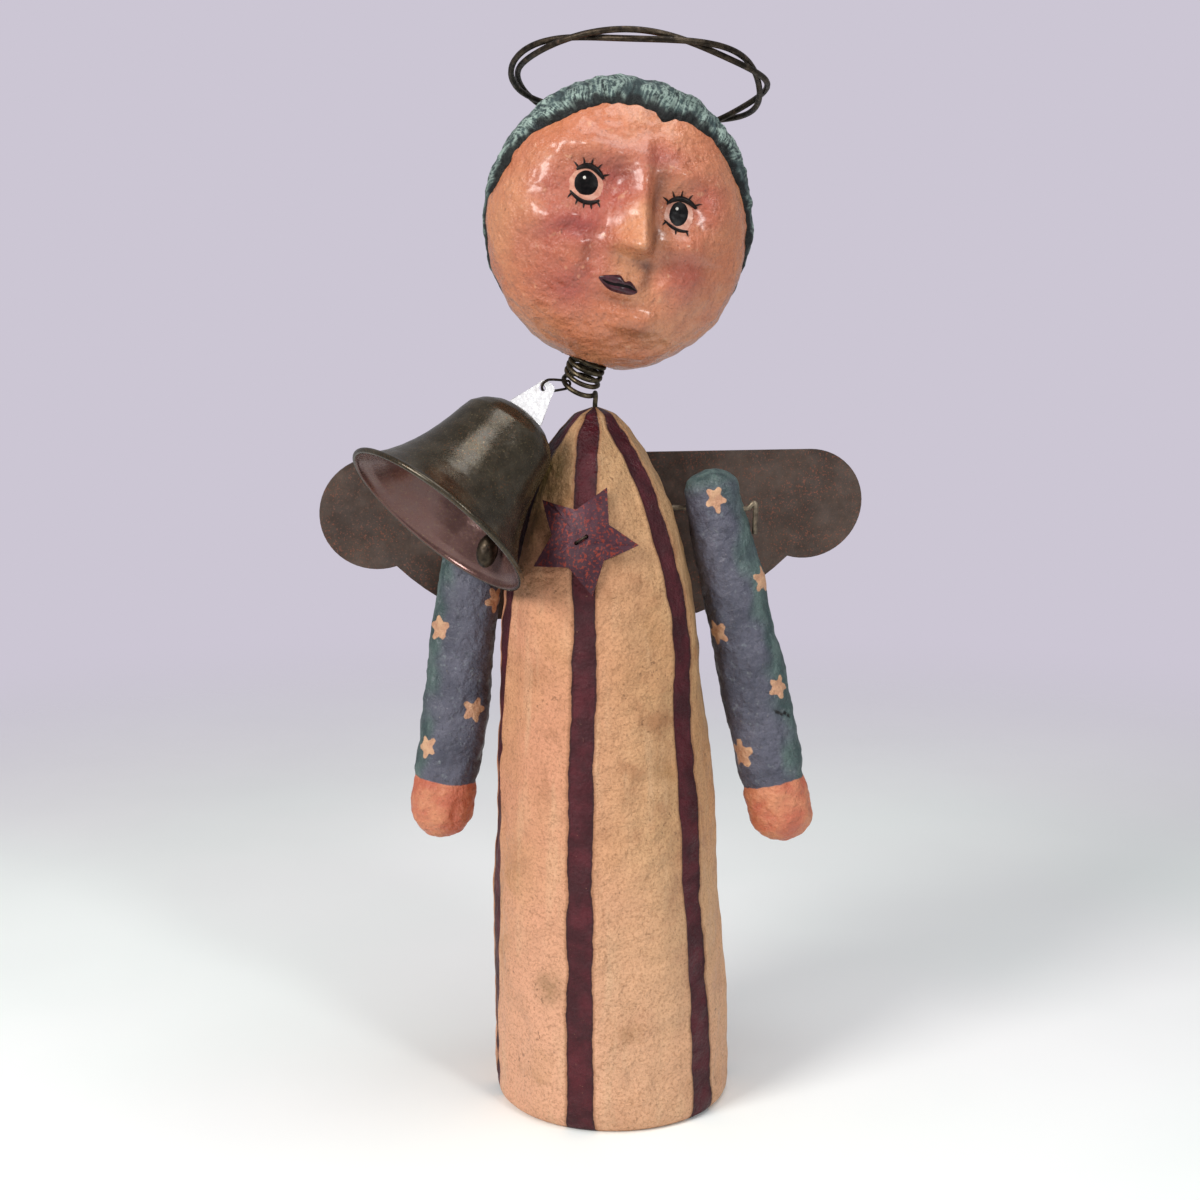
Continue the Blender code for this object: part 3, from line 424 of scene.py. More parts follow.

# %% [markdown]
# The profile starts at the card under the foot, rounds the edge and follows the measured radii to the
# neck. The turned cone leans like the solid. The bell's shadow on the paint beside it is painted in as
# shade, and there is one old stain.

# %% Turn the body
TOP_HOLE = 1.1 * MM
BODY_RINGS = 190
BODY_STEPS = 220
SHADE_AND_STAIN_REACH = 6 * MM
STAIN = Vector((-21.9, -36, 48.3)) * MM
profile = [(disc_high.x, SKIN_INSIDE), (disc_high.x, 0.0)]
profile += [(foot_radius - FOOT_TUCK * (1 - s), FOOT_ROUND * (1 - c)) for c, s in arc(0, 90, 6)]
for i in range(1, BODY_RINGS):
    height = FOOT_ROUND + (body_high.z - FOOT_ROUND) * (1 - (1 - i / BODY_RINGS) ** 1.35)
    profile.append((body_radius(height), height))
profile.append((TOP_HOLE, body_high.z))
body_mesh = turned(profile, BODY_STEPS)
shear = Matrix.Identity(4)
shear[0][2], shear[1][2] = body_lean.x, body_lean.y
shear.translation = body_axis(0.0)
bmesh.ops.transform(body_mesh, matrix=shear, verts=body_mesh.verts)
body_mesh.normal_update()
stripe_layer, shade_and_stain_layer = layers(body_mesh, "stripe_mm", "bell_shade_and_stain")
for vert in body_mesh.verts:
    vert[stripe_layer] = stripe_distance(vert.co)
    # Painted shade: the shadow that the bell casts on the body, strongest where the bell lies closest.
    bell_shade_and_stain = math.exp(-(bell_tree.find_nearest(vert.co)[3] / SHADE_AND_STAIN_REACH) ** 2)
    vert[shade_and_stain_layer] = bell_shade_and_stain + 0.5 * math.exp(-((vert.co - STAIN).length / SHADE_AND_STAIN_REACH) ** 4)
    vert.co += vert.normal * body_push(vert.co, vert[stripe_layer])

# %% [markdown]
# The paint is a matt cream with pinker and browner patches, fine brown specks and a few stains. Light is
# painted in as well: the lit left side is pinker than the shaded right side, the lower body is lighter from
# the white table below it, paler upright streaks are partly painted sheen, and the bell's shadow is painted
# beside the bell. The burgundy stripes have a darker rim where the brush stopped. Varnish has pooled on the
# shoulders, so the finish gets glossier and a little yellow towards the top.

# %% Mix the body's paint
def striped_paper():
    mix = Finish("striped_paper", 0.3)
    at = mix.add("SeparateXYZ", {0: mix.place}).outputs
    top = mix.between(at["Z"], 0.185, 0.225)
    # Painted light: the lit left side of the cream is pinker, the shaded right side greener.
    side = mix.plus(at["X"], mix.times(mix.grain(0.03), 0.03))
    cream = mix.over((210, 148, 116), (196, 156, 112), side, -0.015, 0.045)
    cream = mix.over(cream, (202, 148, 106), mix.grain(0.045), 0.42, 0.66, 0.7)
    cream = mix.over(cream, (160, 108, 72), mix.grain(0.012, 5), 0.48, 0.75, 0.7)
    # Painted light: the lower body is lighter and paler, from the white table below it.
    cream = mix.blend(mix.between(at["Z"], 0.015, 0.13, 0.55, 0), cream, (228, 178, 146))
    # Paler upright streaks: brush streaks and painted sheen.
    streaks_and_sheen = mix.grain(0.006, 4, place=mix.stretched(1, 1, 0.16))
    cream = mix.over(cream, (224, 186, 148), streaks_and_sheen, 0.5, 0.8, 0.5)
    cream = mix.blend(mix.times(top, 0.5), cream, (178, 154, 112))
    cream = mix.over(cream, (138, 94, 58), mix.grain(0.0009, 3, 0.7), 0.44, 0.70, 0.5)
    specked = mix.between(mix.grain(0.02), 0.4, 0.7)
    specks = mix.times(mix.between(mix.grain(0.0016, 2), 0.62, 0.72), specked)
    cream = mix.blend(mix.times(specks, 0.7), cream, (96, 66, 42))
    cream = mix.over(cream, (150, 108, 62), mix.grain(0.022, 5, 0.6), 0.56, 0.80, 0.6)
    # Painted shadow of the bell, together with the one old stain, in olive brown.
    bell_shade_and_stain = mix.times(mix.stored("bell_shade_and_stain"), mix.between(mix.grain(0.004, 4), 0.3, 0.6, 0.4, 0.95))
    cream = mix.blend(bell_shade_and_stain, cream, (104, 88, 48))
    wobble = mix.times(mix.minus(mix.grain(0.007, 4), 0.5), 1.8)
    edge = mix.plus(mix.stored("stripe_mm"), wobble)
    cream = mix.blend(mix.between(edge, 0.1, 1.2, 0.6, 0), cream, (134, 88, 60))
    inside = mix.between(edge, -0.2, 0.12, 1, 0)
    rim = mix.times(inside, mix.between(edge, -1.0, -0.2))
    burgundy = mix.over((58, 15, 23), (84, 27, 36), mix.grain(0.008, 5), 0.35, 0.7)
    burgundy = mix.blend(mix.times(rim, 0.7), burgundy, (40, 15, 18))
    burgundy = mix.over(burgundy, (176, 130, 104), mix.grain(0.0013, 3), 0.70, 0.78, 0.45)
    gloss = mix.between(mix.grain(0.006, 4), 0.35, 0.7, 0.72, 0.5)
    gloss = mix.minus(mix.minus(gloss, mix.times(top, 0.14)), mix.times(inside, 0.08))
    skin = mix.relief(mix.grain(0.007, 5), 2.6 * MM)
    skin = mix.relief(mix.grain(0.0013, 4, 0.65), 0.6 * MM, skin)
    return mix.done(mix.blend(inside, cream, burgundy), gloss, skin)


make_piece("body_skin", body_mesh, striped_paper(), "torso", ["body_shell"])

# %% [markdown]
# ## The head
#
# The head is a flattened ball of paper pulp with the face modelled on its front. A cube that is cut fine
# and swollen into a ball has even faces all over and no pole in the middle of the face, which a globe of
# rings would have. The face is then raised and pressed in with soft bumps, the way a thumb works wet
# pulp: sockets, brows, cheeks, a wedge of a nose with one steep side, and a small chin.

# %% Shape the ball of the head
HEAD_CENTRE = Vector((1.07, -5.50, 293.83)) * MM
HEAD_ROLL = math.radians(14)
HEAD_YAW = math.radians(7)
HEAD_HALF = Vector((41.4, 28.0, 43.8))
HEAD_SQUARENESS = 0.9
JAW_BULGE = 0.07
JAW_ANGLE = math.radians(138)
HEAD = Matrix.Translation(HEAD_CENTRE) @ Matrix.Rotation(HEAD_ROLL, 4, "Y")
HEAD = HEAD @ Matrix.Rotation(HEAD_YAW, 4, "Z") @ Matrix.Scale(MM, 4)
head_up = Vector((math.sin(HEAD_ROLL), 0, math.cos(HEAD_ROLL)))


def head_place(around, back, grow=0.0):
    """A place on the plain head in its own millimetres, by its angles from the top and from the rear."""
    depth = math.copysign(abs(math.cos(back)) ** HEAD_SQUARENESS, math.cos(back))
    spread = max(0.0, math.sin(back)) ** HEAD_SQUARENESS
    spread *= 1 + JAW_BULGE * max(0.0, math.cos(around - JAW_ANGLE)) ** 3
    half = HEAD_HALF + Vector((grow, grow, grow))
    return Vector((half.x * spread * math.sin(around), half.y * depth, half.z * spread * math.cos(around)))


def angles_of(direction):
    """The two head angles of a direction seen from the middle of the ball."""
    return math.atan2(direction.x, direction.z), math.acos(max(-1.0, min(1.0, direction.y)))

# %% [markdown]
# Places on the face are given in millimetres from the middle of the head, right and up as the viewer sees
# them. A mark has its place, the width and height over which it falls away, and its strength: above zero
# it is a rise, below zero a hollow.

# %% Mark out the face
LEFT_EYE = (-15.3, 9.5)
RIGHT_EYE = (14.8, 7.4)
NOSE_TOP = (0.2, 22.0)
NOSE_TIP = (5.4, -5.6)
MOUTH = (1.4, -17.8)
NOSE_BALLS = (((3.2, -4.8), 4.8, 4.2, 2.4), ((-3.4, -5.8), 3.0, 2.9, 2.8))
BROWS = (((-14, 20.8), 11, 3.2, 2.8), ((15, 19.5), 9, 3.4, 2.4))
TEMPLES = (((-29, 12), 5, 9, 1.6), ((28, 12), 4, 8, 1.2))
SOCKETS = (((-14, 9.5), 8.5, 7.0, -3.8), ((14, 8), 7.0, 6.5, -3.6), ((-4.5, 13), 4.0, 6.0, -1.8))
EYEBALLS = ((LEFT_EYE, 5.0, 4.8, 1.7), (RIGHT_EYE, 4.4, 4.4, 1.5))
CHEEKBONES = (((-26, -3.5), 8, 5.5, 2.8), ((20, -1.8), 8.5, 4.2, 3.0))
CHEEKS = (((-15, -14), 8, 6, 1.9), ((22, -13), 7, 6, 1.9))
LEFT_FOLDS = (((-14, -4.2), 6.5, 2.4, -1.7), ((-9, -11), 3.2, 4.5, -1.6))
RIGHT_FOLDS = (((12, -12), 2.8, 7, -2.0), ((27, -6.5), 7, 1.8, -1.2))
CHIN = ((MOUTH, 8, 5, 1.5), ((4, -23.2), 7, 2.2, -1.9), ((10, -28), 8.5, 4.6, 3.0))
FACE = BROWS + TEMPLES + SOCKETS + EYEBALLS + CHEEKBONES + LEFT_FOLDS + CHEEKS + RIGHT_FOLDS + CHIN


def thumbs(x, z, marks):
    """The sum of soft round marks at a place on the face."""
    rise = 0.0
    for at, wide, high, weight in marks:
        rise += weight * math.exp(-((x - at[0]) / wide) ** 2 - ((z - at[1]) / high) ** 2)
    return rise

# %% [markdown]
# The nose is a wedge: a leaning ridge that grows to the tip, broad on the left and steep on the right.
# The rest of the face is marks only, and lumps and pimples cover the whole ball, because the pulp was
# never sanded.

# %% Model the head
NOSE_RISE = (1.5, 7.9)
NOSE_LEFT = (6.0, 5.6)
NOSE_RIGHT = (2.6, 1.0)
HEAD_LUMPS = ((0.85, 13, 4), (0.45, 5.5, 8), (0.17, 2.4, 15))
HEAD_WRINKLES = ((0.16, 1.7, 27),)
HEAD_CUTS = 94


def nose_rise(x, z):
    """Height of the nose; each pair of numbers is a size at its top and its growth down to the tip."""
    run = clamp((NOSE_TOP[1] - z) / (NOSE_TOP[1] - NOSE_TIP[1]))
    ridge = NOSE_TOP[0] + (NOSE_TIP[0] - NOSE_TOP[0]) * run
    height = NOSE_RISE[0] + NOSE_RISE[1] * run ** 1.1
    under = NOSE_TIP[1] + 0.05 * (x - 3.4) ** 2
    height *= soft_step(z, under - 4.4, under + 1.0)
    height *= 1 - soft_step(z, NOSE_TOP[1] - 5, NOSE_TOP[1] + 9)
    width, growth = NOSE_LEFT if x < ridge else NOSE_RIGHT
    share = max(0.0, 1 - (math.hypot(x - ridge, 1.0) - 1.0) / (width + growth * run))
    return height * share ** 1.15 * (1.15 - 0.15 * share) + thumbs(x, z, NOSE_BALLS)


def head_lumps(place):
    sideways = Vector((place.x * 0.5, place.y, place.z))
    return layered(place, HEAD_LUMPS) + layered(sideways, HEAD_WRINKLES)


head_mesh = bmesh.new()
bmesh.ops.create_cube(head_mesh, size=2)
bmesh.ops.subdivide_edges(head_mesh, edges=head_mesh.edges, cuts=HEAD_CUTS, use_grid_fill=True)
for vert in head_mesh.verts:
    direction = Vector([math.tan(math.pi / 4 * value) for value in vert.co]).normalized()
    place = head_place(*angles_of(direction))
    rise = nose_rise(place.x, place.z) + thumbs(place.x, place.z, FACE)
    place.y -= rise * soft_step(-place.y, 3, 16)
    vert.co = place + direction * head_lumps(place)

# %% [markdown]
# The spring's wooden plug sits in a round hole under the chin. The faces inside the hole are taken away,
# its rim is drawn to a true circle and then pulled up into the head as a short tube.

# %% Open the hole for the plug
plug_low, plug_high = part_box("head_plug")
PLUG_HOLE = 8.9
PLUG_TUBE = Vector((0, 0, 6))
plug_at = HEAD.inverted() @ ((plug_low + plug_high) / 2)
holed = []
for face in head_mesh.faces:
    middle = face.calc_center_median()
    if middle.z < 0 and (middle - plug_at).xy.length < PLUG_HOLE:
        holed.append(face)
bmesh.ops.delete(head_mesh, geom=holed, context="FACES")
rim = [edge for edge in head_mesh.edges if edge.is_boundary]
for vert in {vert for edge in rim for vert in edge.verts}:
    vert.co.xy = plug_at.xy + (vert.co - plug_at).xy.normalized() * PLUG_HOLE
drawn = bmesh.ops.extrude_edge_only(head_mesh, edges=rim)["geom"]
tube_end = [item for item in drawn if isinstance(item, bmesh.types.BMVert)]
bmesh.ops.translate(head_mesh, vec=PLUG_TUBE, verts=tube_end)
print("plug hole in the head:", len(holed), "faces taken away")

# %% [markdown]
# Colour was rubbed on by hand: rose round the eyes, on the cheeks and beside the nose, and a brown wash in
# the hollows. The wash also stands for shade: it is painted along the steep right side of the nose, under
# the nose, under the lower lip and the chin, and in the creases. Both are stored on the mesh as soft
# shares, made of the same kind of marks as the shape.

# %% Rub colour on the face
ROSE = (
    ((-8, 11), 14, 12, 0.85), ((-27, 8), 8, 8, 0.45), ((-16, -4), 12, 6, 0.68), ((-27, -12), 8, 8, 0.45),
    ((-13, -22), 10, 8, 0.70), ((-6, -12), 6, 6, 0.55), ((6, 23), 8, 5, 0.55), ((23, 12), 7, 9, 0.60),
    ((21, -11), 9, 8, 0.65), ((2.5, -1), 4.5, 9, -0.9),
)
WASH_AND_SHADE = (
    ((6.2, 9), 1.6, 8, 0.7), ((8.8, -2), 1.8, 6, 0.9), ((7.6, -10.2), 4.0, 1.7, 0.9),
    ((9.4, -14), 1.8, 4.0, 0.7), ((5, -23), 6, 1.7, 0.5), ((12, -31), 5, 2.4, 0.4),
    ((-10, -10.5), 2.2, 5, 0.4), ((7, 17), 2.6, 5, 0.45), ((-5, 15), 3.5, 4, 0.4),
    ((-15, 16), 8, 1.5, 0.4), ((-13, -4.6), 7, 1.6, 0.22),
)
rose_layer, wash_and_shade_layer = layers(head_mesh, "rose", "wash_and_shade")
for vert in head_mesh.verts:
    x, y, z = vert.co
    front = soft_step(-y, 6, 18)
    vert[rose_layer] = max(0.0, thumbs(x, z, ROSE)) * front
    vert[wash_and_shade_layer] = thumbs(x, z, WASH_AND_SHADE) * front

# %% [markdown]
# The flesh paint is peach with darker blotches, fine grime and specks, under an uneven varnish. Its pale
# flecks are painted highlights, and the brown wash adds painted shade in the hollows and beside the nose.

# %% Mix the flesh paint
def rubbed_flesh():
    mix = Finish("rubbed_flesh")
    blotch = mix.grain(0.009, 5)
    flesh = mix.over((192, 116, 80), (202, 136, 96), mix.grain(0.022), 0.36, 0.64)
    flesh = mix.over(flesh, (174, 104, 70), blotch, 0.52, 0.75, 0.6)
    blush = mix.times(mix.stored("rose"), mix.between(blotch, 0.15, 0.6, 0.75, 1.1))
    flesh = mix.blend(blush, flesh, (156, 60, 56))
    # Brown wash, which is also painted shade beside and under the nose, under the lip and in the creases.
    wash_and_shade_share = mix.times(mix.stored("wash_and_shade"), mix.between(blotch, 0.2, 0.7, 0.6, 1.0))
    flesh = mix.blend(wash_and_shade_share, flesh, (96, 52, 34))
    # Pale flecks: painted highlights.
    flesh = mix.over(flesh, (230, 182, 140), mix.grain(0.0032, 4), 0.60, 0.76, 0.35)
    flesh = mix.over(flesh, (132, 70, 48), mix.grain(0.0011, 4, 0.7), 0.48, 0.72, 0.38)
    flesh = mix.over(flesh, (104, 56, 40), mix.grain(0.0015, 2), 0.68, 0.75, 0.5)
    gloss = mix.between(mix.grain(0.005, 4), 0.35, 0.7, 0.20, 0.40)
    mix.varnish(0.5, 0.20)
    return mix.done(flesh, gloss, mix.bumps((0.0040, 5, 1.5), (0.0016, 5, 0.6)))


bmesh.ops.transform(head_mesh, matrix=HEAD, verts=head_mesh.verts)
outward(head_mesh)
face_tree = BVHTree.FromBMesh(head_mesh)
make_piece("head_skin", head_mesh, rubbed_flesh(), "head", ["head_shell"])

# %% [markdown]
# ## Painted eyes and mouth
#
# The eyes, lashes and lips are dabs and strokes of thick paint. They could be drawn in the shader, but
# fine lines would blur there, so each is a thin raised piece that is dropped onto the face by a ray. A
# dab is a turned disc with a slight dome. Its rim dips just under the skin, and a hidden back closes it.

# %% Tools for thick paint
INTO_FACE = (HEAD.to_3x3() @ BACK).normalized()
PAINT_BACK = 0.3 * MM


def on_face(x, z, lift):
    """A place on the modelled face, lifted towards the viewer by lift millimetres."""
    start = HEAD @ Vector((x, -60, z))
    return face_tree.ray_cast(start, INTO_FACE)[0] - INTO_FACE * lift * MM


def paint_mix(name, dark, light, roughness, coat=0.25, shine=0.3):
    mix = Finish(name, shine)
    colour = mix.over(dark, light, mix.grain(0.0011, 3), 0.35, 0.7)
    gloss = mix.between(mix.grain(0.0016), 0.3, 0.7, roughness, roughness + 0.2)
    mix.varnish(coat, 0.26)
    return mix.done(colour, gloss, mix.bumps((0.0007, 3, 0.05)))


def close_back(bm):
    """Gives a layer of paint its hidden back, with a sharp rim."""
    rim = [edge for edge in bm.edges if edge.is_boundary]
    copied = bmesh.ops.extrude_face_region(bm, geom=bm.faces[:], use_keep_orig=True)["geom"]
    behind = [item for item in copied if isinstance(item, bmesh.types.BMVert)]
    bmesh.ops.translate(bm, vec=INTO_FACE * PAINT_BACK, verts=behind)
    for edge in rim:
        edge.smooth = False
    outward(bm)


def dab(bm, at, wide, high, thick):
    """Adds a domed disc of paint to bm."""
    disc = turned([(i / 7, 0) for i in range(8)], 40)
    for vert in disc.verts:
        spot = Vector((vert.co.x, 0, -vert.co.y))
        out = spot.length
        wave = 1 + 0.05 * noise.noise(spot * 2.2 + Vector((at[0], at[1], 0)))
        lift = thick * (1 - out ** 4) - 0.06 * out ** 4
        vert.co = on_face(at[0] + spot.x * wide * wave, at[1] + spot.z * high * wave, lift)
    close_back(disc)
    scratch = bpy.data.meshes.new("dab")
    disc.to_mesh(scratch)
    disc.free()
    bm.from_mesh(scratch)
    bpy.data.meshes.remove(scratch)


def dabs(name, material, spots):
    bm = bmesh.new()
    for at, wide, high, thick in spots:
        dab(bm, at, wide, high, thick)
    return make_piece(name, bm, material, "head")

# %% [markdown]
# An eye is three dabs on top of each other: a pale ring, the black pupil and a glint. The pupils get
# little varnish, so they stay black from every side.

# %% Paint the eyes
EYE_RING = paint_mix("eye_ring_paint", (188, 128, 108), (204, 152, 130), 0.34)
PUPIL = paint_mix("pupil_paint", (6, 5, 6), (20, 16, 17), 0.34, 0.03, 0.1)
GLINT = paint_mix("glint_paint", (190, 186, 176), (222, 220, 212), 0.3)
EYES = ((LEFT_EYE, 4.15, 4.15), (RIGHT_EYE, 3.4, 4.2))
rings = [((x + 0.1, z - 0.4), wide + 1.65, high + 1.35, 0.12) for (x, z), wide, high in EYES]
dabs("eye_rings", EYE_RING, rings)
dabs("pupils", PUPIL, [(at, wide, high, 0.34) for at, wide, high in EYES])
dabs("glints", GLINT, [((x - 0.9, z + 1.5), 0.66, 0.70, 0.46) for (x, z), wide, high in EYES])

# %% [markdown]
# The lids and lashes are brush lines that thin out towards their ends. A curve with a round bevel, half
# sunk in the face, makes such a line, and the curve's own radius gives the taper.

# %% Tools for brush lines
def round_curve(name, thick, fineness):
    """An empty curve with a round bevel and closed ends."""
    curve = bpy.data.curves.new(name, "CURVE")
    curve.dimensions = "3D"
    curve.bevel_depth = thick
    curve.bevel_resolution = fineness
    curve.use_fill_caps = True
    return curve


def curve_piece(name, curve, material, body, replaced=()):
    """Turns a curve into a mesh piece at the origin."""
    guide = bpy.data.objects.new(name, curve)
    scene.collection.objects.link(guide)
    mesh = bpy.data.meshes.new_from_object(guide.evaluated_get(bpy.context.evaluated_depsgraph_get()))
    bpy.data.objects.remove(guide)
    bpy.data.curves.remove(curve)
    mesh.name = name
    mesh.materials.clear()
    return show(name, mesh, material, body, replaced)


def brush_lines(name, material, lines):
    """Each line is a list of face places and a thickness in millimetres at its start and its end."""
    curve = round_curve(name, MM, 3)
    for places, first, last in lines:
        spline = curve.splines.new("POLY")
        spline.points.add(len(places) - 1)
        for i, (point, place) in enumerate(zip(spline.points, places)):
            share = i / (len(places) - 1)
            point.co = (*on_face(*place, 0.08), 1)
            point.radius = (first + (last - first) * share) * (1 - 0.6 * abs(2 * share - 1) ** 3)
    return curve_piece(name, curve, material, "head")


def arc_through(first, middle, last, count=14):
    """Places along the smooth bow through three places."""
    places = []
    for i in range(count + 1):
        s = i / count
        a, b, c = (1 - s) * (1 - 2 * s), 4 * s * (1 - s), s * (2 * s - 1)
        places.append(tuple(a * p + b * q + c * r for p, q, r in zip(first, middle, last)))
    return places

# %% [markdown]
# Each lid is a bow through three places. Its row names the eye, the places, how many lashes stand on it,
# how long they are and how heavy the line is.

# %% Paint the lids and lashes
LINE = 0.62
LASH = 0.46
LASH_TIP = 0.14
LIDS = (
    (LEFT_EYE, ((-19.1, 12.8), (-15.1, 14.7), (-10.4, 11.9)), 5, 2.5, 1.35),
    (LEFT_EYE, ((-19.5, 6.2), (-14.7, 3.9), (-10.2, 5.5)), 5, 2.0, 1.0),
    (RIGHT_EYE, ((10.4, 9.5), (14.4, 12.1), (19.9, 10.4)), 5, 2.5, 1.3),
    (RIGHT_EYE, ((10.7, 4.6), (14.9, 2.7), (18.7, 3.1)), 3, 1.6, 0.85),
)


def lashes(bow, eye, count, length):
    """Short strokes that stand off a lid line, away from the middle of the eye."""
    strokes = []
    for i in range(count):
        root = Vector(bow[round((len(bow) - 1) * (0.06 + 0.88 * i / (count - 1)))])
        away = (root - Vector(eye)).normalized()
        curl = Vector((-away.y, away.x)) * (0.18 - 0.36 * i / (count - 1))
        stroke = [tuple(root + (away + curl * s) * length * s) for s in (0, 0.35, 0.7, 1)]
        strokes.append((stroke, LASH, LASH_TIP))
    return strokes


LASH_PAINT = paint_mix("lash_paint", (12, 9, 9), (34, 25, 23), 0.34, 0.05, 0.15)
lines = []
for eye, corners, count, length, weight in LIDS:
    bow = arc_through(*corners)
    lines.append((bow, LINE * weight, LINE * weight * 1.2))
    lines += lashes(bow, eye, count, length)
brush_lines("lids_and_lashes", LASH_PAINT, lines)

# %% [markdown]
# The mouth is a small dark bow. It starts as a grid, whose long edges are bent to the upper and lower
# lip. The two lips swell, and a black brush line lies in the groove between them.

# %% Paint the lips
LIP_HALF = 6.8
UPPER_LIP = 3.1
LOWER_LIP = 3.3
MOUTH_LINE = 0.58


def lip_edges(share):
    """Upper and lower edge of the lips, in millimetres, at a share from -1 to 1 along the mouth."""
    bow = (1 - abs(share) ** 1.8) * (1 - 0.54 * math.exp(-((share - 0.26) / 0.17) ** 2))
    full = (1 - abs(share) ** 2.6) * (0.78 + 0.3 * share)
    return UPPER_LIP * bow * (1 - 0.2 * share), -LOWER_LIP * full


def mouth_tilt(share):
    """How far the middle of the mouth wanders up or down along its length."""
    return -0.5 * share + 0.35 * math.sin(share * 4.0)


lip_mesh = bmesh.new()
bmesh.ops.create_grid(lip_mesh, x_segments=36, y_segments=14, size=1)
for vert in lip_mesh.verts:
    share, level = vert.co.x, vert.co.y
    upper, lower = lip_edges(share)
    rise = upper * level if level > 0 else -lower * level
    swell = 0.75 * math.sin(math.pi * min(1.0, abs(level))) * (1 - share * share) + 0.10
    swell -= 0.22 * soft_step(max(abs(level), abs(share)), 0.86, 1.0)
    vert.co = on_face(MOUTH[0] + LIP_HALF * share, MOUTH[1] + mouth_tilt(share) + rise, swell)
bmesh.ops.remove_doubles(lip_mesh, verts=lip_mesh.verts, dist=1e-6)
close_back(lip_mesh)
LIP_PAINT = paint_mix("lip_paint", (50, 20, 28), (76, 34, 44), 0.24)
make_piece("lips", lip_mesh, LIP_PAINT, "head")
shares = [-0.75 + 1.6 * i / 20 for i in range(21)]
parting = [(MOUTH[0] + LIP_HALF * share, MOUTH[1] + mouth_tilt(share)) for share in shares]
brush_lines("mouth_line", PUPIL, [(parting, MOUTH_LINE, MOUTH_LINE)])

# %% [markdown]
# ## The hair
#
# The hair is a thick layer of dark paint over a raised cap of pulp, with brush furrows that run back from
# the brow and lose themselves on the crown. One globe makes the whole cap: its rear half becomes the
# outside, from the crown at the back to the hairline, and its front half is folded under, so the edge at
# the brow is round and closed.

# %% Draw the hairline
HAIR_THICK = 2.6
HAIR_CHIN_SHARE = 0.35
HAIRLINE_TOP = 127
HAIRLINE_SIDE = 98
HAIRLINE_CHIN = 76
HAIRLINE_WAVES = ((2.6, 3.2, 1.7), (2.0, 11, 5.2), (1.0, 27, 2.6))
HAIR_PEAK = 5.0
HAIR_PEAK_ANGLE = math.radians(7)
HAIR_PEAK_WIDTH = 0.13
HAIR_UNDER = -1.4
HAIR_KNOBS = ((1.0, 6.5, 2), (0.75, 2.9, 6), (0.45, 1.3, 12))
HAIR_STEPS = 340
HAIR_RINGS = 190


def hairline(around):
    """How far forward the hair comes, as an angle from the rear, with the wavy edge of a loaded brush."""
    x, z = math.sin(around), math.cos(around)
    line = HAIRLINE_SIDE + (HAIRLINE_TOP - HAIRLINE_SIDE) * max(0.0, z) ** 0.8
    line -= (HAIRLINE_SIDE - HAIRLINE_CHIN) * max(0.0, -z) ** 0.8
    for depth, often, seed in HAIRLINE_WAVES:
        line += depth * wander(x * often, z * often, seed)
    line += HAIR_PEAK * math.exp(-((around - HAIR_PEAK_ANGLE) / HAIR_PEAK_WIDTH) ** 2)
    return math.radians(line)

# %% [markdown]
# The ridges of the hair, its edge of painted shade and the smooth crown are stored for the paint. So are
# flowing coordinates, which run round and back, so that the furrows of the paint follow the brush.

# %% Fold a globe into the cap of hair
hair_mesh = bmesh.new()
bmesh.ops.create_uvsphere(hair_mesh, u_segments=HAIR_STEPS, v_segments=HAIR_RINGS, radius=1)
crown_back = Matrix.Rotation(-math.pi / 2, 3, "X")
bmesh.ops.rotate(hair_mesh, cent=Vector(), matrix=crown_back, verts=hair_mesh.verts)
flow_layer = hair_mesh.verts.layers.float_vector.new("flow")
edge_shade_layer, ridge_layer, crown_layer = layers(hair_mesh, "hair_edge_shade", "hair_ridge", "hair_crown")
for vert in hair_mesh.verts:
    around, polar = angles_of(vert.co.normalized())
    outside = polar <= math.pi / 2
    share = (polar if outside else math.pi - polar) / (math.pi / 2)
    chin = (1 - math.cos(around)) / 2
    thick = HAIR_THICK * (1 - (1 - HAIR_CHIN_SHARE) * chin)
    flat = Vector((math.sin(around) * share * 30, math.cos(around) * share * 30, 0))
    flow = flat + UP * share * 3
    grow = HAIR_UNDER
    if outside:
        lip = math.sqrt(max(0.0, 1 - share ** 22))
        furrow = wander(around * 16, share * 2.5, 4) + 0.6 * wander(around * 37, share * 4, 9)
        ridge = 0.30 * furrow * soft_step(share, 0.05, 0.3) + layered(flat, HAIR_KNOBS)
        ridge *= 1 - 0.6 * chin
        grow = (thick + ridge) * lip + HAIR_UNDER * (1 - lip)
        vert[ridge_layer] = ridge
    vert[flow_layer] = Vector((around * 9 + 0.7 * lumps(flow, 5, 14), share * 2.2, 0))
    vert[crown_layer] = 1 - soft_step(share + 0.06 * lumps(flow, 4, 8), 0.12, 0.42)
    # The edge next to the face, where the painted shade lies.
    vert[edge_shade_layer] = soft_step(share + 0.035 * lumps(flow, 1.6, 3), 0.935, 0.97) if outside else 1.0
    vert.co = HEAD @ head_place(around, hairline(around) * share, grow)
outward(hair_mesh)

# %% [markdown]
# The paint is a dark teal-grey. A dry brush has caught the ridges with a paler teal. The edge next to
# the face is painted nearly black, as the shade under the overhanging hair.

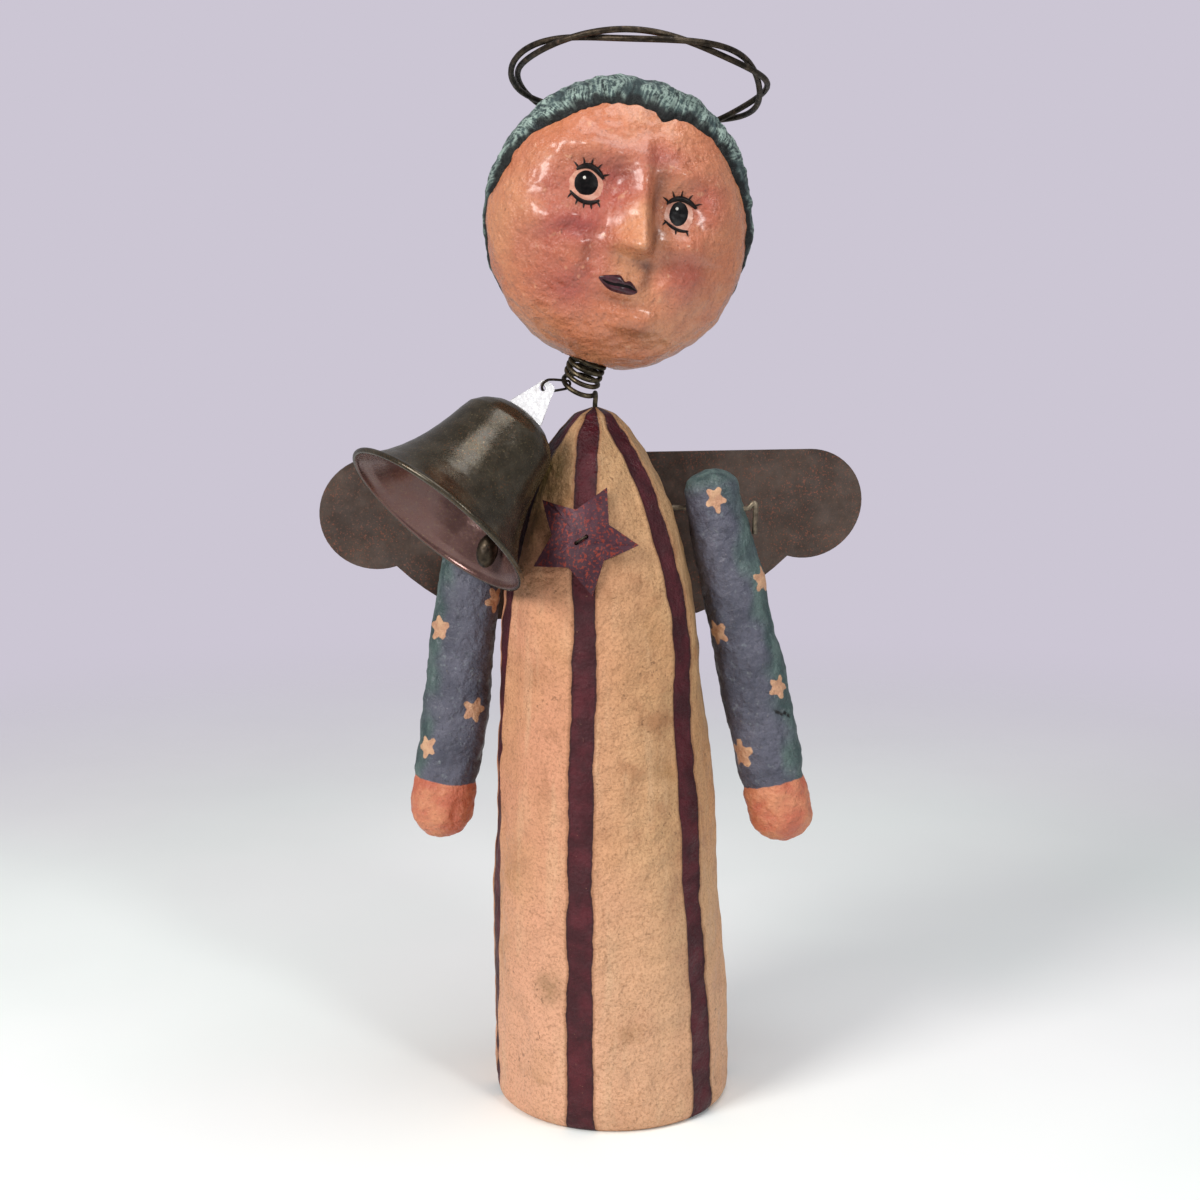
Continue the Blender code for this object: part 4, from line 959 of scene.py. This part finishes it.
# %% Mix the hair paint
def brushed_hair():
    mix = Finish("brushed_hair", 0.3)
    flow = mix.stored("flow", "Vector")
    crown = mix.stored("hair_crown")
    furrows = mix.blend(crown, mix.grain(0.5, 4, place=flow), mix.grain(0.005, 4))
    hairs = mix.grain(0.002, 3, place=mix.stretched(1, 1, 0.4))
    fine = mix.blend(crown, mix.grain(0.16, 3, place=flow), hairs)
    colour = mix.over((36, 47, 49), (68, 86, 86), furrows, 0.35, 0.65)
    raised = mix.plus(mix.stored("hair_ridge"), mix.times(fine, 1.2))
    bristles = mix.plus(mix.times(fine, 0.5), mix.times(mix.grain(0.0013, 4, 0.7), 0.5))
    dry = mix.times(mix.between(raised, 0.0, 0.95), mix.between(bristles, 0.44, 0.56))
    colour = mix.blend(dry, colour, (156, 176, 166))
    colour = mix.over(colour, (40, 66, 58), mix.grain(0.014), 0.5, 0.75, 0.4)
    # Painted shade: the edge over the face is nearly black.
    colour = mix.blend(mix.times(mix.stored("hair_edge_shade"), 0.97), colour, (7, 8, 9))
    gloss = mix.between(mix.grain(0.004, 4), 0.35, 0.7, 0.34, 0.6)
    skin = mix.relief(furrows, 0.5 * MM)
    skin = mix.relief(mix.grain(0.0024, 5, 0.65), 1.5 * MM, skin)
    return mix.done(colour, gloss, skin)


hair_tree = BVHTree.FromBMesh(hair_mesh)
make_piece("hair", hair_mesh, brushed_hair(), "head", ["hair_cap"])

# %% [markdown]
# ## Wires: halo, neck spring, arm wire and link
#
# All wires on the doll were bent by hand from soft iron. Each is one curve with a round bevel through a
# list of places, turned into a mesh. The bends come from a formula, so a coil stays even and a hook stays
# round.

# %% Tools for wires
def wire(name, places, thick, material, body, replaced=(), closed=False):
    """A round wire of the given radius that runs smoothly through the places."""
    curve = round_curve(name, thick, 4)
    curve.resolution_u = 4
    spline = curve.splines.new("BEZIER")
    spline.bezier_points.add(len(places) - 1)
    for point, place in zip(spline.bezier_points, places):
        point.co = place
        point.handle_left_type = point.handle_right_type = "AUTO"
    spline.use_cyclic_u = closed
    return curve_piece(name, curve, material, body, replaced)


def square_to(heading, towards):
    """The part of heading that stands square to towards."""
    return (heading - towards * heading.dot(towards)).normalized()


def old_wire(name, dark, light, rust, roughness):
    """Annealed wire: dark scale, rubbed bright in places, with a little rust."""
    mix = Finish(name)
    colour = mix.over(dark, light, mix.grain(0.003, 4), 0.35, 0.68)
    colour = mix.over(colour, rust, mix.grain(0.0013, 4), 0.6, 0.72, 0.7)
    gloss = mix.between(mix.grain(0.002, 3), 0.3, 0.7, roughness, roughness + 0.25)
    shine = mix.between(mix.grain(0.0013, 4), 0.5, 0.7, 0.9, 0.4)
    return mix.done(colour, gloss, mix.bumps((0.0006, 4, 0.06)), shine)


BLACK_WIRE = old_wire("black_iron_wire", (40, 34, 28), (74, 64, 52), (86, 58, 40), 0.34)
SPRING_WIRE = old_wire("oiled_spring_wire", (48, 42, 32), (98, 88, 68), (84, 62, 42), 0.3)
GREY_WIRE = old_wire("dull_grey_wire", (96, 86, 74), (150, 136, 116), (112, 82, 60), 0.34)

# %% [markdown]
# The halo is one wire wound twice round, with its two strands twisted loosely about each other. Both ends
# turn down into the back of the head.

# %% Wind the halo
HALO_WIRE = 0.95 * MM
HALO_RADIUS = 38.8 * MM
HALO_STRAND = HALO_WIRE + 0.35 * MM
HALO_TWISTS = 3.5
HALO_CENTRE = Vector((7.8, -12.5, 337.2)) * MM
HALO_STEM_ANGLE = math.radians(10)
HALO_BEND = 2.8 * MM
HALO_SINK = 9 * MM
HALO_LEAN = math.radians(4)
HALO_DIP = math.radians(-16)
halo_turn = Matrix.Rotation(HALO_LEAN, 3, "Y") @ Matrix.Rotation(HALO_DIP, 3, "X")
halo_right, halo_back, halo_up = (halo_turn @ axis for axis in (RIGHT, BACK, UP))


def halo_place(angle):
    spoke = math.cos(angle) * halo_back + math.sin(angle) * halo_right
    twist = HALO_TWISTS * angle
    out = HALO_RADIUS - HALO_STRAND * math.cos(twist)
    return HALO_CENTRE + out * spoke + HALO_STRAND * math.sin(twist) * halo_up


def halo_stem(angle, heading):
    """Places from inside the head out to the winding."""
    corner = halo_place(angle) - heading * HALO_BEND
    foot = hair_tree.find_nearest(corner)[0]
    inward = (foot - corner).normalized()
    ease = corner + (inward + heading) * HALO_BEND * 0.25
    return [foot + inward * HALO_SINK, foot, corner + inward * HALO_BEND * 0.9, ease]


HALO_STEPS = 110
halo_last = 4 * math.pi - HALO_STEM_ANGLE
halo_step = (halo_last - HALO_STEM_ANGLE) / HALO_STEPS
winding = [halo_place(HALO_STEM_ANGLE + halo_step * i) for i in range(HALO_STEPS + 1)]
stem_in = halo_stem(HALO_STEM_ANGLE, (winding[1] - winding[0]).normalized())
stem_out = halo_stem(halo_last, (winding[-2] - winding[-1]).normalized())
halo_path = stem_in + winding + stem_out[::-1]
wire("halo", halo_path, HALO_WIRE, BLACK_WIRE, "head", ["halo_wire"])

# %% [markdown]
# The neck spring carries the head, so it must bend when the head nods and tilts. It is cut in the middle:
# the lower half runs from the body to the middle of the spring, the upper half from the middle to the
# head. The lowest turn holds the bell's link: it is tipped forward by the bell's weight and stays still
# with the body.

# %% Wind the neck spring
SPRING_RADIUS = 0.8 * MM
COIL_RADIUS = 5.5 * MM
COIL_TURNS = 4.6
COIL_PITCH = 2.05 * MM
COIL_OPENING = 1.1 * MM
COIL_LEAN = math.radians(18)
COIL_FORWARD = math.radians(21)
TAIL_BEND = 1.5 * MM
TAIL_DEPTH = 12 * MM
neck_pivot = joint("head_nod")[0]
hang_ahead = neck_pivot.y - joint("bell_swing")[0].y
coil_along = Vector((math.sin(COIL_LEAN), 0, math.cos(COIL_LEAN)))
coil_side = Vector((math.cos(COIL_LEAN), 0, -math.sin(COIL_LEAN)))
spring_half = coil_along * (COIL_PITCH * COIL_TURNS + COIL_OPENING) / 2
coil_start = neck_pivot - spring_half


def coil_place(turn):
    angle = -2 * math.pi * turn
    rise = COIL_PITCH * turn + COIL_OPENING * soft_step(turn, 0.55, 1.25)
    forward = COIL_FORWARD * (1 - 0.75 * soft_step(turn, 2.2, COIL_TURNS))
    across, back = COIL_RADIUS * math.cos(angle), COIL_RADIUS * math.sin(angle)
    tipped = math.tan(forward) * (back + hang_ahead) * UP
    return coil_start + rise * coil_along + across * coil_side + back * BACK + tipped


def bend_from(place, heading, towards):
    """A quarter bend that leaves a place along heading and ends along towards."""
    return [place + TAIL_BEND * (s * heading + (1 - c) * towards) for c, s in arc(30, 90, 2)]


COIL_STEPS = 112
coil = [coil_place(COIL_TURNS * i / COIL_STEPS) for i in range(COIL_STEPS + 1)]
lower_bend = bend_from(coil[0], square_to(coil[0] - coil[1], -UP), -UP)
upper_bend = bend_from(coil[-1], square_to(coil[-1] - coil[-2], head_up), head_up)
body_tail = [body_axis(body_high.z - TAIL_DEPTH), body_axis(body_high.z + SPRING_RADIUS)]
lower_half = body_tail + lower_bend[::-1] + coil[: COIL_STEPS // 2 + 1]
upper_half = coil[COIL_STEPS // 2 :] + upper_bend + [upper_bend[-1] + head_up * TAIL_DEPTH]
lower_spring = wire("neck_spring_lower", lower_half, SPRING_RADIUS, SPRING_WIRE, None)
upper_spring = wire("neck_spring_upper", upper_half, SPRING_RADIUS, SPRING_WIRE, None)
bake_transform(lower_spring)
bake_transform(upper_spring)
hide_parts("neck_spring")

# %% [markdown]
# ## The arms
#
# Each arm is a stuffed paper sausage, painted slate blue with a bare flesh-coloured hand and cream stars.
# A slight taper with two rounded ends is turned, lumped like the body and pressed a little flat from
# front to back. The stars are stored as a distance again, with five blunt points each, and the hand as a
# distance past the cuff. The outer side is greener than the rest, and each arm has a short crack where
# the paper has split.

# %% Tools for the arms
ARM_STAR = 3.7
STAR_CORE = 2.1
STAR_POINT = 1.0
CUFF = 94.5
ARM_TOP = -13.5
ARM_END = 116.2
ARM_TOP_RADIUS = 9.3
ARM_HAND_RADIUS = 10.9
ARM_TOP_CAP = 7.0
ARM_HAND_CAP = 11.0
ARM_BELLY = 1.3
ARM_FLAT = 1.8
ARM_LUMPS = ((0.75, 17, 0), (0.55, 6, 3), (0.34, 2.6, 5), (0.14, 1.4, 9))
ARM_SINK = 0.30
ARM_RINGS = 170
ARM_STEPS = 100


def arm_radius(run):
    """Radius of the arm in millimetres at a place along it: a slight taper between two rounded ends."""
    share = (run - ARM_TOP) / (ARM_END - ARM_TOP)
    radius = ARM_TOP_RADIUS + (ARM_HAND_RADIUS - ARM_TOP_RADIUS) * share
    radius += ARM_BELLY * math.sin(math.pi * share)
    past_top = (ARM_TOP + ARM_TOP_CAP - run) / ARM_TOP_CAP
    over = max(past_top, (run - ARM_END + ARM_HAND_CAP) / ARM_HAND_CAP, 0.0)
    return radius * math.sqrt(max(0.0, 1 - over * over))


def star_distance(u, v, turn):
    """Millimetres from the edge of a star with five blunt points, u across and v along from its middle."""
    angle = (math.atan2(u, v) - turn) % (2 * math.pi / 5)
    angle = min(angle, 2 * math.pi / 5 - angle)
    along, across = math.hypot(u, v) * math.cos(angle), math.hypot(u, v) * math.sin(angle)
    share = clamp(along / ARM_STAR)
    return math.hypot(along - share * ARM_STAR, across) - STAR_CORE - (STAR_POINT - STAR_CORE) * share


def line_distance(u, v, places):
    """Millimetres from a crooked line through places."""
    here = Vector((u, v))
    found = []
    for first, last in zip(places, places[1:]):
        run = Vector(last) - Vector(first)
        share = clamp((here - Vector(first)).dot(run) / run.length_squared)
        found.append((here - Vector(first) - run * share).length)
    return min(found)

# %% [markdown]
# The sleeve's paint is streaky and worn, with dark pores and pale dust. Stars, hand and crack are laid
# over it.

# %% Mix the sleeve paint
def painted_sleeve():
    mix = Finish("painted_sleeve")
    strokes = mix.grain(0.005, 5, place=mix.stretched(1, 1, 0.3))
    blue = mix.over((64, 65, 79), (88, 88, 102), mix.grain(0.018), 0.36, 0.64)
    teal = mix.over((50, 69, 69), (86, 105, 101), strokes, 0.35, 0.7)
    blue = mix.blend(mix.stored("teal"), blue, teal)
    blue = mix.over(blue, (36, 37, 46), mix.grain(0.0016, 4, 0.7), 0.50, 0.72, 0.55)
    blue = mix.over(blue, (122, 130, 134), mix.grain(0.0022, 4), 0.58, 0.74, 0.5)
    cream = mix.over((184, 136, 106), (204, 162, 126), mix.grain(0.004, 4), 0.35, 0.7)
    flesh = mix.over((184, 98, 72), (204, 134, 98), mix.grain(0.008, 5), 0.35, 0.65)
    flesh = mix.over(flesh, (132, 70, 44), mix.grain(0.0012, 4, 0.7), 0.5, 0.72, 0.4)
    wobble = mix.times(mix.minus(mix.grain(0.0035, 3), 0.5), 1.7)
    star = mix.between(mix.plus(mix.stored("star_mm"), wobble), -0.15, 0.2, 1, 0)
    colour = mix.blend(star, blue, cream)
    cuff = mix.plus(mix.stored("cuff_mm"), mix.times(mix.grain(0.006, 3), 2.4))
    colour = mix.over(colour, flesh, cuff, 0.95, 1.45)
    colour = mix.over(colour, (16, 15, 17), mix.stored("crack"), 0.3, 0.7)
    colour = mix.over(colour, (176, 168, 150), mix.grain(0.0012, 3), 0.68, 0.78, 0.35)
    gloss = mix.between(mix.grain(0.004, 4), 0.35, 0.7, 0.38, 0.6)
    return mix.done(colour, gloss, mix.bumps((0.0040, 5, 1.7), (0.0014, 4, 0.5)))


SLEEVE = painted_sleeve()

# %% [markdown]
# A star or a point of the crack has its place along the arm in millimetres and its angle from the front
# in degrees, outward. The arm itself hangs from its joint along a line that is splayed a little from the
# upright.

# %% Tool for one arm
def make_arm(name, outward_sign, splay, stars, crack, seed):
    pivot, axis = joint(f"{name}_swing")
    away = -axis * outward_sign
    down = away * math.sin(splay) - UP * math.cos(splay)
    side = away * math.cos(splay) + UP * math.sin(splay)
    front = down.cross(side) * outward_sign
    runs = [ARM_TOP + (ARM_END - ARM_TOP) * (0.5 - 0.5 * c) for c, s in arc(0, 180, ARM_RINGS)]
    bm = turned([(arm_radius(run), run) for run in runs], ARM_STEPS)
    cuff_layer, star_layer, teal_layer, crack_layer = layers(bm, "cuff_mm", "star_mm", "teal", "crack")
    split = [(math.radians(turn) * ARM_HAND_RADIUS, run) for run, turn in crack]
    bm.normal_update()
    for vert in bm.verts:
        run, angle = vert.co.z, math.atan2(vert.co.y, vert.co.x)
        nearest = 20.0
        for i, (star_run, star_angle) in enumerate(stars):
            turn = (angle - math.radians(star_angle) + math.pi) % (2 * math.pi) - math.pi
            size = 1 + 0.3 * wander(i * 3.1, seed, 0)
            far = star_distance(turn * ARM_HAND_RADIUS / size, (run - star_run) / size, i * 0.45)
            nearest = min(nearest, far)
        vert[star_layer] = nearest
        vert[cuff_layer] = run - CUFF
        outer = math.sin(angle) + 0.5 * lumps(vert.co, 9, seed + 7)
        vert[teal_layer] = max(soft_step(outer, 0.35, 0.95), 1 - soft_step(run, ARM_TOP + 2, ARM_TOP + 9))
        vert[crack_layer] = math.exp(-(line_distance(angle * ARM_HAND_RADIUS, run, split) / 0.6) ** 2)
        push = layered(vert.co, ARM_LUMPS, seed) - ARM_SINK
        push -= 0.9 * vert[crack_layer] + ARM_FLAT * (vert.co.x / ARM_HAND_RADIUS) ** 2
        push -= 0.5 * math.exp(-((run - CUFF) / 1.6) ** 2)
        push += 0.15 * (1 - soft_step(nearest, -0.5, 0.4))
        vert.co += vert.normal * push
    set_up(bm, (front, side, down), pivot)
    make_piece(f"{name}_sleeve", bm, SLEEVE, name, [name])
    return pivot, away

# %% [markdown]
# The stars on the front sit where the viewer sees them, and those behind are spread out.

# %% Make both arms
RIGHT_SPLAY = math.radians(12.4)
LEFT_SPLAY = math.radians(7.8)
RIGHT_STARS = [(-4, 6), (26, 70), (40, -51), (62, 50), (82, -54)]
RIGHT_STARS += [(12, 158), (47, 128), (70, -140), (18, -115)]
LEFT_STARS = [(30, -66), (42, 50), (68, -46), (83, 44), (8, 10)]
LEFT_STARS += [(14, 150), (55, 165), (78, 130), (60, -135)]
RIGHT_CRACK = [(69.5, 34), (71.2, 47), (70.8, 53), (73.2, 66)]
LEFT_CRACK = [(34, 160), (36, 172), (35.5, 178)]
right_pivot, right_way = make_arm("right_arm", 1, RIGHT_SPLAY, RIGHT_STARS, RIGHT_CRACK, 31)
left_pivot, left_way = make_arm("left_arm", -1, LEFT_SPLAY, LEFT_STARS, LEFT_CRACK, 47)

# %% [markdown]
# Both arms hang on one wire that runs straight through the body. Its ends come out of the arms, rise a
# little and are bent down into hooks, so the arms can't slip off.

# %% Bend the arm wire
ARM_WIRE = 0.9 * MM
ARM_HALF_THICK = 9.45 * MM
HOOK_REACH = 2.3 * MM
HOOK_RISE = 1.6 * MM
HOOK_DROP = 8.5 * MM


def wire_hook(pivot, away, splay):
    clear = ARM_HALF_THICK / math.cos(splay) + ARM_WIRE
    foot = pivot + away * (clear + HOOK_REACH)
    return [
        pivot + away * clear,
        foot - away * HOOK_REACH * 0.4 + UP * HOOK_RISE * 0.8,
        foot - away * HOOK_REACH * 0.1 + UP * HOOK_RISE,
        foot + away * HOOK_REACH * 0.08 + UP * HOOK_RISE * 0.3,
        foot + away * HOOK_REACH * 0.08 - UP * HOOK_DROP * 0.25,
        foot - UP * HOOK_DROP,
    ]


left_hook = wire_hook(left_pivot, left_way, LEFT_SPLAY)
right_hook = wire_hook(right_pivot, right_way, RIGHT_SPLAY)
arm_wire_path = left_hook[::-1] + [left_pivot, right_pivot] + right_hook
wire("hooked_arm_wire", arm_wire_path, ARM_WIRE, GREY_WIRE, "torso", ["arm_wire"])

# %% [markdown]
# ## The bell
#
# The bell is spun from thin sheet and rusted to an even olive brown. It hangs mouth outward against the
# shoulder. Its outside is measured on the solid, square to its axis, and turned with a wall and a rolled
# lip.

# %% Turn the bell
BELL_PITCH = math.radians(45)
LINK_LENGTH = 6.8 * MM
EAR_REACH = 12.5 * MM
BELL_HEIGHT = 45.9
BELL_WALL = 0.9
CROWN_THICK = 1.4
LIP_ROLL = 0.95
LIP_FLARE = 1.2
BELL_RINGS = 60
BELL_STEPS = 128
hang_place, swing_axis = joint("bell_swing")
bell_out = UP.cross(swing_axis)
bell_axis = bell_out * math.cos(BELL_PITCH) - UP * math.sin(BELL_PITCH)
bell_lift = bell_out * math.sin(BELL_PITCH) + UP * math.cos(BELL_PITCH)
ear_place = hang_place + bell_out * LINK_LENGTH
crown = ear_place + bell_axis * EAR_REACH
lip_start = BELL_HEIGHT - 2.2 * LIP_ROLL
bell_runs = [lip_start - (lip_start - 0.4) * i / BELL_RINGS for i in range(BELL_RINGS + 1)]
outer = [(reach(bell_tree, crown + bell_axis * run * MM, swing_axis) / MM, run) for run in bell_runs]
lip_radius = outer[0][0] + LIP_FLARE
lip = [(lip_radius + LIP_ROLL * c, BELL_HEIGHT - LIP_ROLL + LIP_ROLL * s) for c, s in arc(-60, 190, 12)]
inner = [(max(0.0, radius - BELL_WALL), max(run, CROWN_THICK)) for radius, run in outer]
bell_profile = [(0.0, outer[-1][1] - 0.2)] + outer[::-1] + lip + inner + [(0.0, CROWN_THICK)]
bell_mesh = turned(bell_profile, BELL_STEPS)
for vert in bell_mesh.verts:
    dent = 0.12 * noise.noise(vert.co / 12)
    vert.co += Vector((vert.co.x, vert.co.y, 0)).normalized() * dent
bell_mesh.normal_update()
(inside_layer,) = layers(bell_mesh, "bell_inside")
for vert in bell_mesh.verts:
    facing = vert.normal.dot(Vector((vert.co.x, vert.co.y, 0)).normalized())
    deep = vert.co.z < 6 and vert.normal.z > 0.5
    vert[inside_layer] = 1.0 if deep or facing < -0.3 else 0.0
set_up(bell_mesh, (bell_lift, swing_axis, bell_axis), crown)

# %% [markdown]
# The rust is mottled, with fine flecks and a few spots rubbed bright. The wall of the mouth is lined in a
# redder brown. The same mix serves the wing, the star and the ear later, with other colours.

# %% Rust the bell
def rusted_metal(name, colours, roughness, fleck=0.0012, flecks=0.66, lining=None, least=0.25):
    """Sheet metal under an even rust: mottled brown, fine rust flecks and a few rubbed bright spots."""
    dark, middle, rust, bright = colours
    mix = Finish(name)
    colour = mix.over(dark, middle, mix.grain(0.020, 6, 0.7), 0.30, 0.70)
    if lining:
        colour = mix.blend(mix.stored("bell_inside"), colour, lining)
    speck = mix.between(mix.grain(fleck, 3, 0.6), flecks - 0.06, flecks + 0.06)
    patch = mix.between(mix.grain(0.016, 3), 0.36, 0.66, least, 1.0)
    colour = mix.blend(mix.times(speck, patch), colour, rust)
    colour = mix.over(colour, bright, mix.grain(0.0007, 3, 0.7), 0.58, 0.72, 0.45)
    gloss = mix.between(mix.grain(0.0012, 4), 0.3, 0.7, roughness, roughness + 0.14)
    shine = mix.between(mix.grain(0.006, 3), 0.35, 0.7, 0.65, 0.3)
    return mix.done(colour, gloss, mix.bumps((0.0010, 4, 0.05), (0.012, 2, 0.12)), shine)


OLIVE_BROWN = ((54, 48, 38), (71, 64, 51), (98, 66, 42), (150, 132, 96))
BRONZE = rusted_metal("rusted_bell", OLIVE_BROWN, 0.16, 0.0006, 0.62, (100, 72, 68))
make_piece("bell", bell_mesh, BRONZE, "bell", ["bell_cup"])

# %% [markdown]
# The bell hangs on a closed wire link: one end goes round the spring's open turn, the other through the
# bright ear. Inside, a hooked wire carries an oval clapper, which lies against the lower wall.

# %% Bend the link
EAR_TURN = math.radians(25.5)
LINK_SLANT = math.radians(45)
LINK_WIRE = 0.42 * MM
LINK_SMALL_END = 1.5 * MM
LINK_LARGE_END = 2.2 * MM
ear_back = math.cos(EAR_TURN) * swing_axis - math.sin(EAR_TURN) * bell_lift
link_along = -bell_out
link_face = square_to(-ear_back, link_along)
link_normal = math.cos(LINK_SLANT) * link_face + math.sin(LINK_SLANT) * link_along.cross(link_face)
link_side = link_normal.cross(link_along)
link_path = []
for centre, radius, start in ((hang_place, LINK_SMALL_END, -90), (ear_place, LINK_LARGE_END, 90)):
    link_path += [centre + radius * (c * link_along + s * link_side) for c, s in arc(start, start + 180, 8)]
wire("bell_ring", link_path, LINK_WIRE, BLACK_WIRE, "bell", ["bell_link"], closed=True)

# %% [markdown]
# The clapper's wire is hooked round the eye at the bell's crown, and the oval bob is turned like the
# bell.

# %% Hang the clapper
CLAPPER_LEAN = math.radians(31)
CLAPPER_WIRE = 0.45 * MM
HOOK_RADIUS = 1.8 * MM
HOOK_LOW = 1.45 * MM
CLAPPER_LENGTH = 34 * MM
BOB_RADIUS = 3.4
BOB_LENGTH = 11.0
WIRE_IN_BOB = 5 * MM
eye_place = joint("clapper_swing")[0]
hang_down = math.cos(CLAPPER_LEAN) * bell_axis - math.sin(CLAPPER_LEAN) * bell_lift
hook_side = square_to(ear_back, hang_down)
hook_middle = eye_place + hang_down * HOOK_LOW
hook_path = [hook_middle + HOOK_RADIUS * (s * hook_side - c * hang_down) for c, s in arc(-120, 90, 8)]
wire_end = eye_place + hang_down * (CLAPPER_LENGTH + WIRE_IN_BOB)
hook_path += [hook_middle + hang_down * HOOK_RADIUS * 2.4, wire_end]
wire("clapper_hook", hook_path, CLAPPER_WIRE, BLACK_WIRE, "clapper", ["clapper_wire"])
bob = turned([(BOB_RADIUS * s, BOB_LENGTH * (1 - c) / 2) for c, s in arc(0, 180, 24)], 40)
for vert in bob.verts:
    vert.co += Vector((vert.co.x, vert.co.y, 0)) * 0.05 * noise.noise(vert.co / 2.5)
set_up(bob, (hook_side, hang_down.cross(hook_side), hang_down), eye_place + hang_down * CLAPPER_LENGTH)
make_piece("clapper", bob, BLACK_WIRE, "clapper", ["clapper_bob"])

# %% [markdown]
# ## Pieces that keep their solid
#
# The wing, the star, the staples and the bell's bright ear are flat sheet or short wire, and their solids
# already have the right shape. They only get their finish: brown-black rust on the wing, plum paint over
# rust on the star, and pale tin on the ear, painted near white partly as a painted reflection of the light.
# The card under the foot and the wooden plugs get theirs too.

# %% Finish the sheet metal, card and wood
BROWN_BLACK = ((70, 58, 52), (96, 80, 71), (134, 76, 58), (124, 106, 92))
PLUM_PAINT = ((58, 32, 42), (78, 46, 56), (138, 54, 40), (96, 66, 68))
# Painted reflection: the ear's tin is painted near white, partly its own bright tin, partly the light it
# reflects.
PALE_TIN_AND_REFLECTION = ((204, 203, 205), (216, 215, 217), (184, 180, 176), (222, 221, 223))
TIN = rusted_metal("rusted_wing", BROWN_BLACK, 0.40, 0.0007, 0.60)
PLUM = rusted_metal("plum_star", PLUM_PAINT, 0.42, 0.0010, 0.57, least=0.75)
EAR_TIN_AND_REFLECTION = rusted_metal("bright_tin_and_painted_reflection", PALE_TIN_AND_REFLECTION, 0.36)


def plain_fibre(name, dark, light, squeeze):
    """Card or wood: a drawn-out grain and a dull surface."""
    mix = Finish(name)
    fibre = mix.grain(0.004, 5, place=mix.stretched(*squeeze))
    gloss = mix.between(fibre, 0.3, 0.7, 0.7, 0.9)
    return mix.done(mix.over(dark, light, fibre, 0.3, 0.7), gloss, mix.relief(fibre, 0.15 * MM))


CARD = plain_fibre("grey_card", (150, 126, 98), (190, 164, 130), (1, 0.4, 1))
WOOD = plain_fibre("bare_wood", (150, 112, 74), (196, 156, 110), (1, 1, 0.15))
KEPT = {
    "wing_sheet": TIN, "wing_staple_upper": GREY_WIRE, "wing_staple_lower": GREY_WIRE,
    "chest_star": PLUM, "star_staple": BLACK_WIRE, "bell_hanger": EAR_TIN_AND_REFLECTION,
    "base_disc": CARD, "neck_block": WOOD, "head_plug": WOOD,
}
for node, material in KEPT.items():
    frame["nodes"][node].material_slots[0].material = material
print("finished", len(KEPT), "solids of the frame")

# %% [markdown]
# ## Floor, surroundings and light
#
# The doll stands on a white table that fades into pale lilac surroundings, so it can be seen from every
# side. A large soft light from the front left models the face, a weaker one from the right fills the
# shadows, and one overhead lights the table.

# %% Set the stage
TABLE_HALF = 1.0
TABLE_FULL = 0.30
TABLE_GONE = 0.85


def white_table():
    mix = Finish("white_table")
    far = mix.add("VectorMath", {0: mix.place}, operation="LENGTH").outputs["Value"]
    mix.feed(mix.shader.inputs, {"Alpha": mix.between(far, TABLE_FULL, TABLE_GONE, 1, 0)})
    colour = mix.over((250, 251, 250), (247, 252, 249), mix.grain(0.3, 2), 0.35, 0.65)
    gloss = mix.between(mix.grain(0.1), 0.3, 0.7, 0.6, 0.8)
    return mix.done(colour, gloss, mix.bumps((0.002, 3, 0.02)))


table_mesh = bmesh.new()
bmesh.ops.create_grid(table_mesh, x_segments=2, y_segments=2, size=TABLE_HALF)
bmesh.ops.translate(table_mesh, vec=(0, 0, -0.1 * MM), verts=table_mesh.verts)
make_piece("table", table_mesh, white_table(), None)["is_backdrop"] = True

# %% [markdown]
# The camera sees a plain lilac, while the doll is lit by a whiter and weaker glow from all round.

# %% Light the stage
ROOM_LIGHT = 0.34
world = bpy.data.worlds.new("pale_room")
world.use_nodes = True
room = world.node_tree.nodes
room["Background"].inputs["Color"].default_value = (0.93, 0.93, 1.0, 1)
room["Background"].inputs["Strength"].default_value = ROOM_LIGHT
seen = room.new("ShaderNodeBackground")
seen.inputs["Color"].default_value = shade(204, 198, 212)
either = room.new("ShaderNodeMixShader")
by_eye = room.new("ShaderNodeLightPath").outputs["Is Camera Ray"]
for i, socket in enumerate((by_eye, room["Background"].outputs[0], seen.outputs[0])):
    world.node_tree.links.new(socket, either.inputs[i])
world.node_tree.links.new(either.outputs[0], room["World Output"].inputs["Surface"])
scene.world = world
scene.view_settings.view_transform = "Standard"


def soft_light(name, place, target, size, power, colour):
    lamp = bpy.data.lights.new(name, "AREA")
    lamp.shape = "DISK"
    lamp.size = size
    lamp.energy = power
    lamp.color = colour
    obj = bpy.data.objects.new(name, lamp)
    obj.location = place
    obj.rotation_euler = (Vector(target) - Vector(place)).to_track_quat("-Z", "Y").to_euler()
    scene.collection.objects.link(obj)


soft_light("window", (-0.64, -0.60, 0.66), (0, 0, 0.2), 0.40, 7.9, (1.0, 0.97, 0.94))
soft_light("second_window", (0.45, -0.65, 0.55), (0, 0, 0.25), 0.16, 2.2, (0.97, 0.99, 0.98))
soft_light("overhead", (0.15, -0.15, 0.95), (0.05, 0, 0.1), 0.5, 2.6, (1.0, 1.0, 1.0))

# %% [markdown]
# Last, the box round the dressed doll is kept beside the box of its solids.

# %% Keep the sizes and finish
dressed_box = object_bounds()
grown = [round(abs(a - b) / MM, 2) for old, new in zip(cad_box, dressed_box) for a, b in zip(old, new)]
print("the dressed doll differs from its solids' box by", grown, "mm")
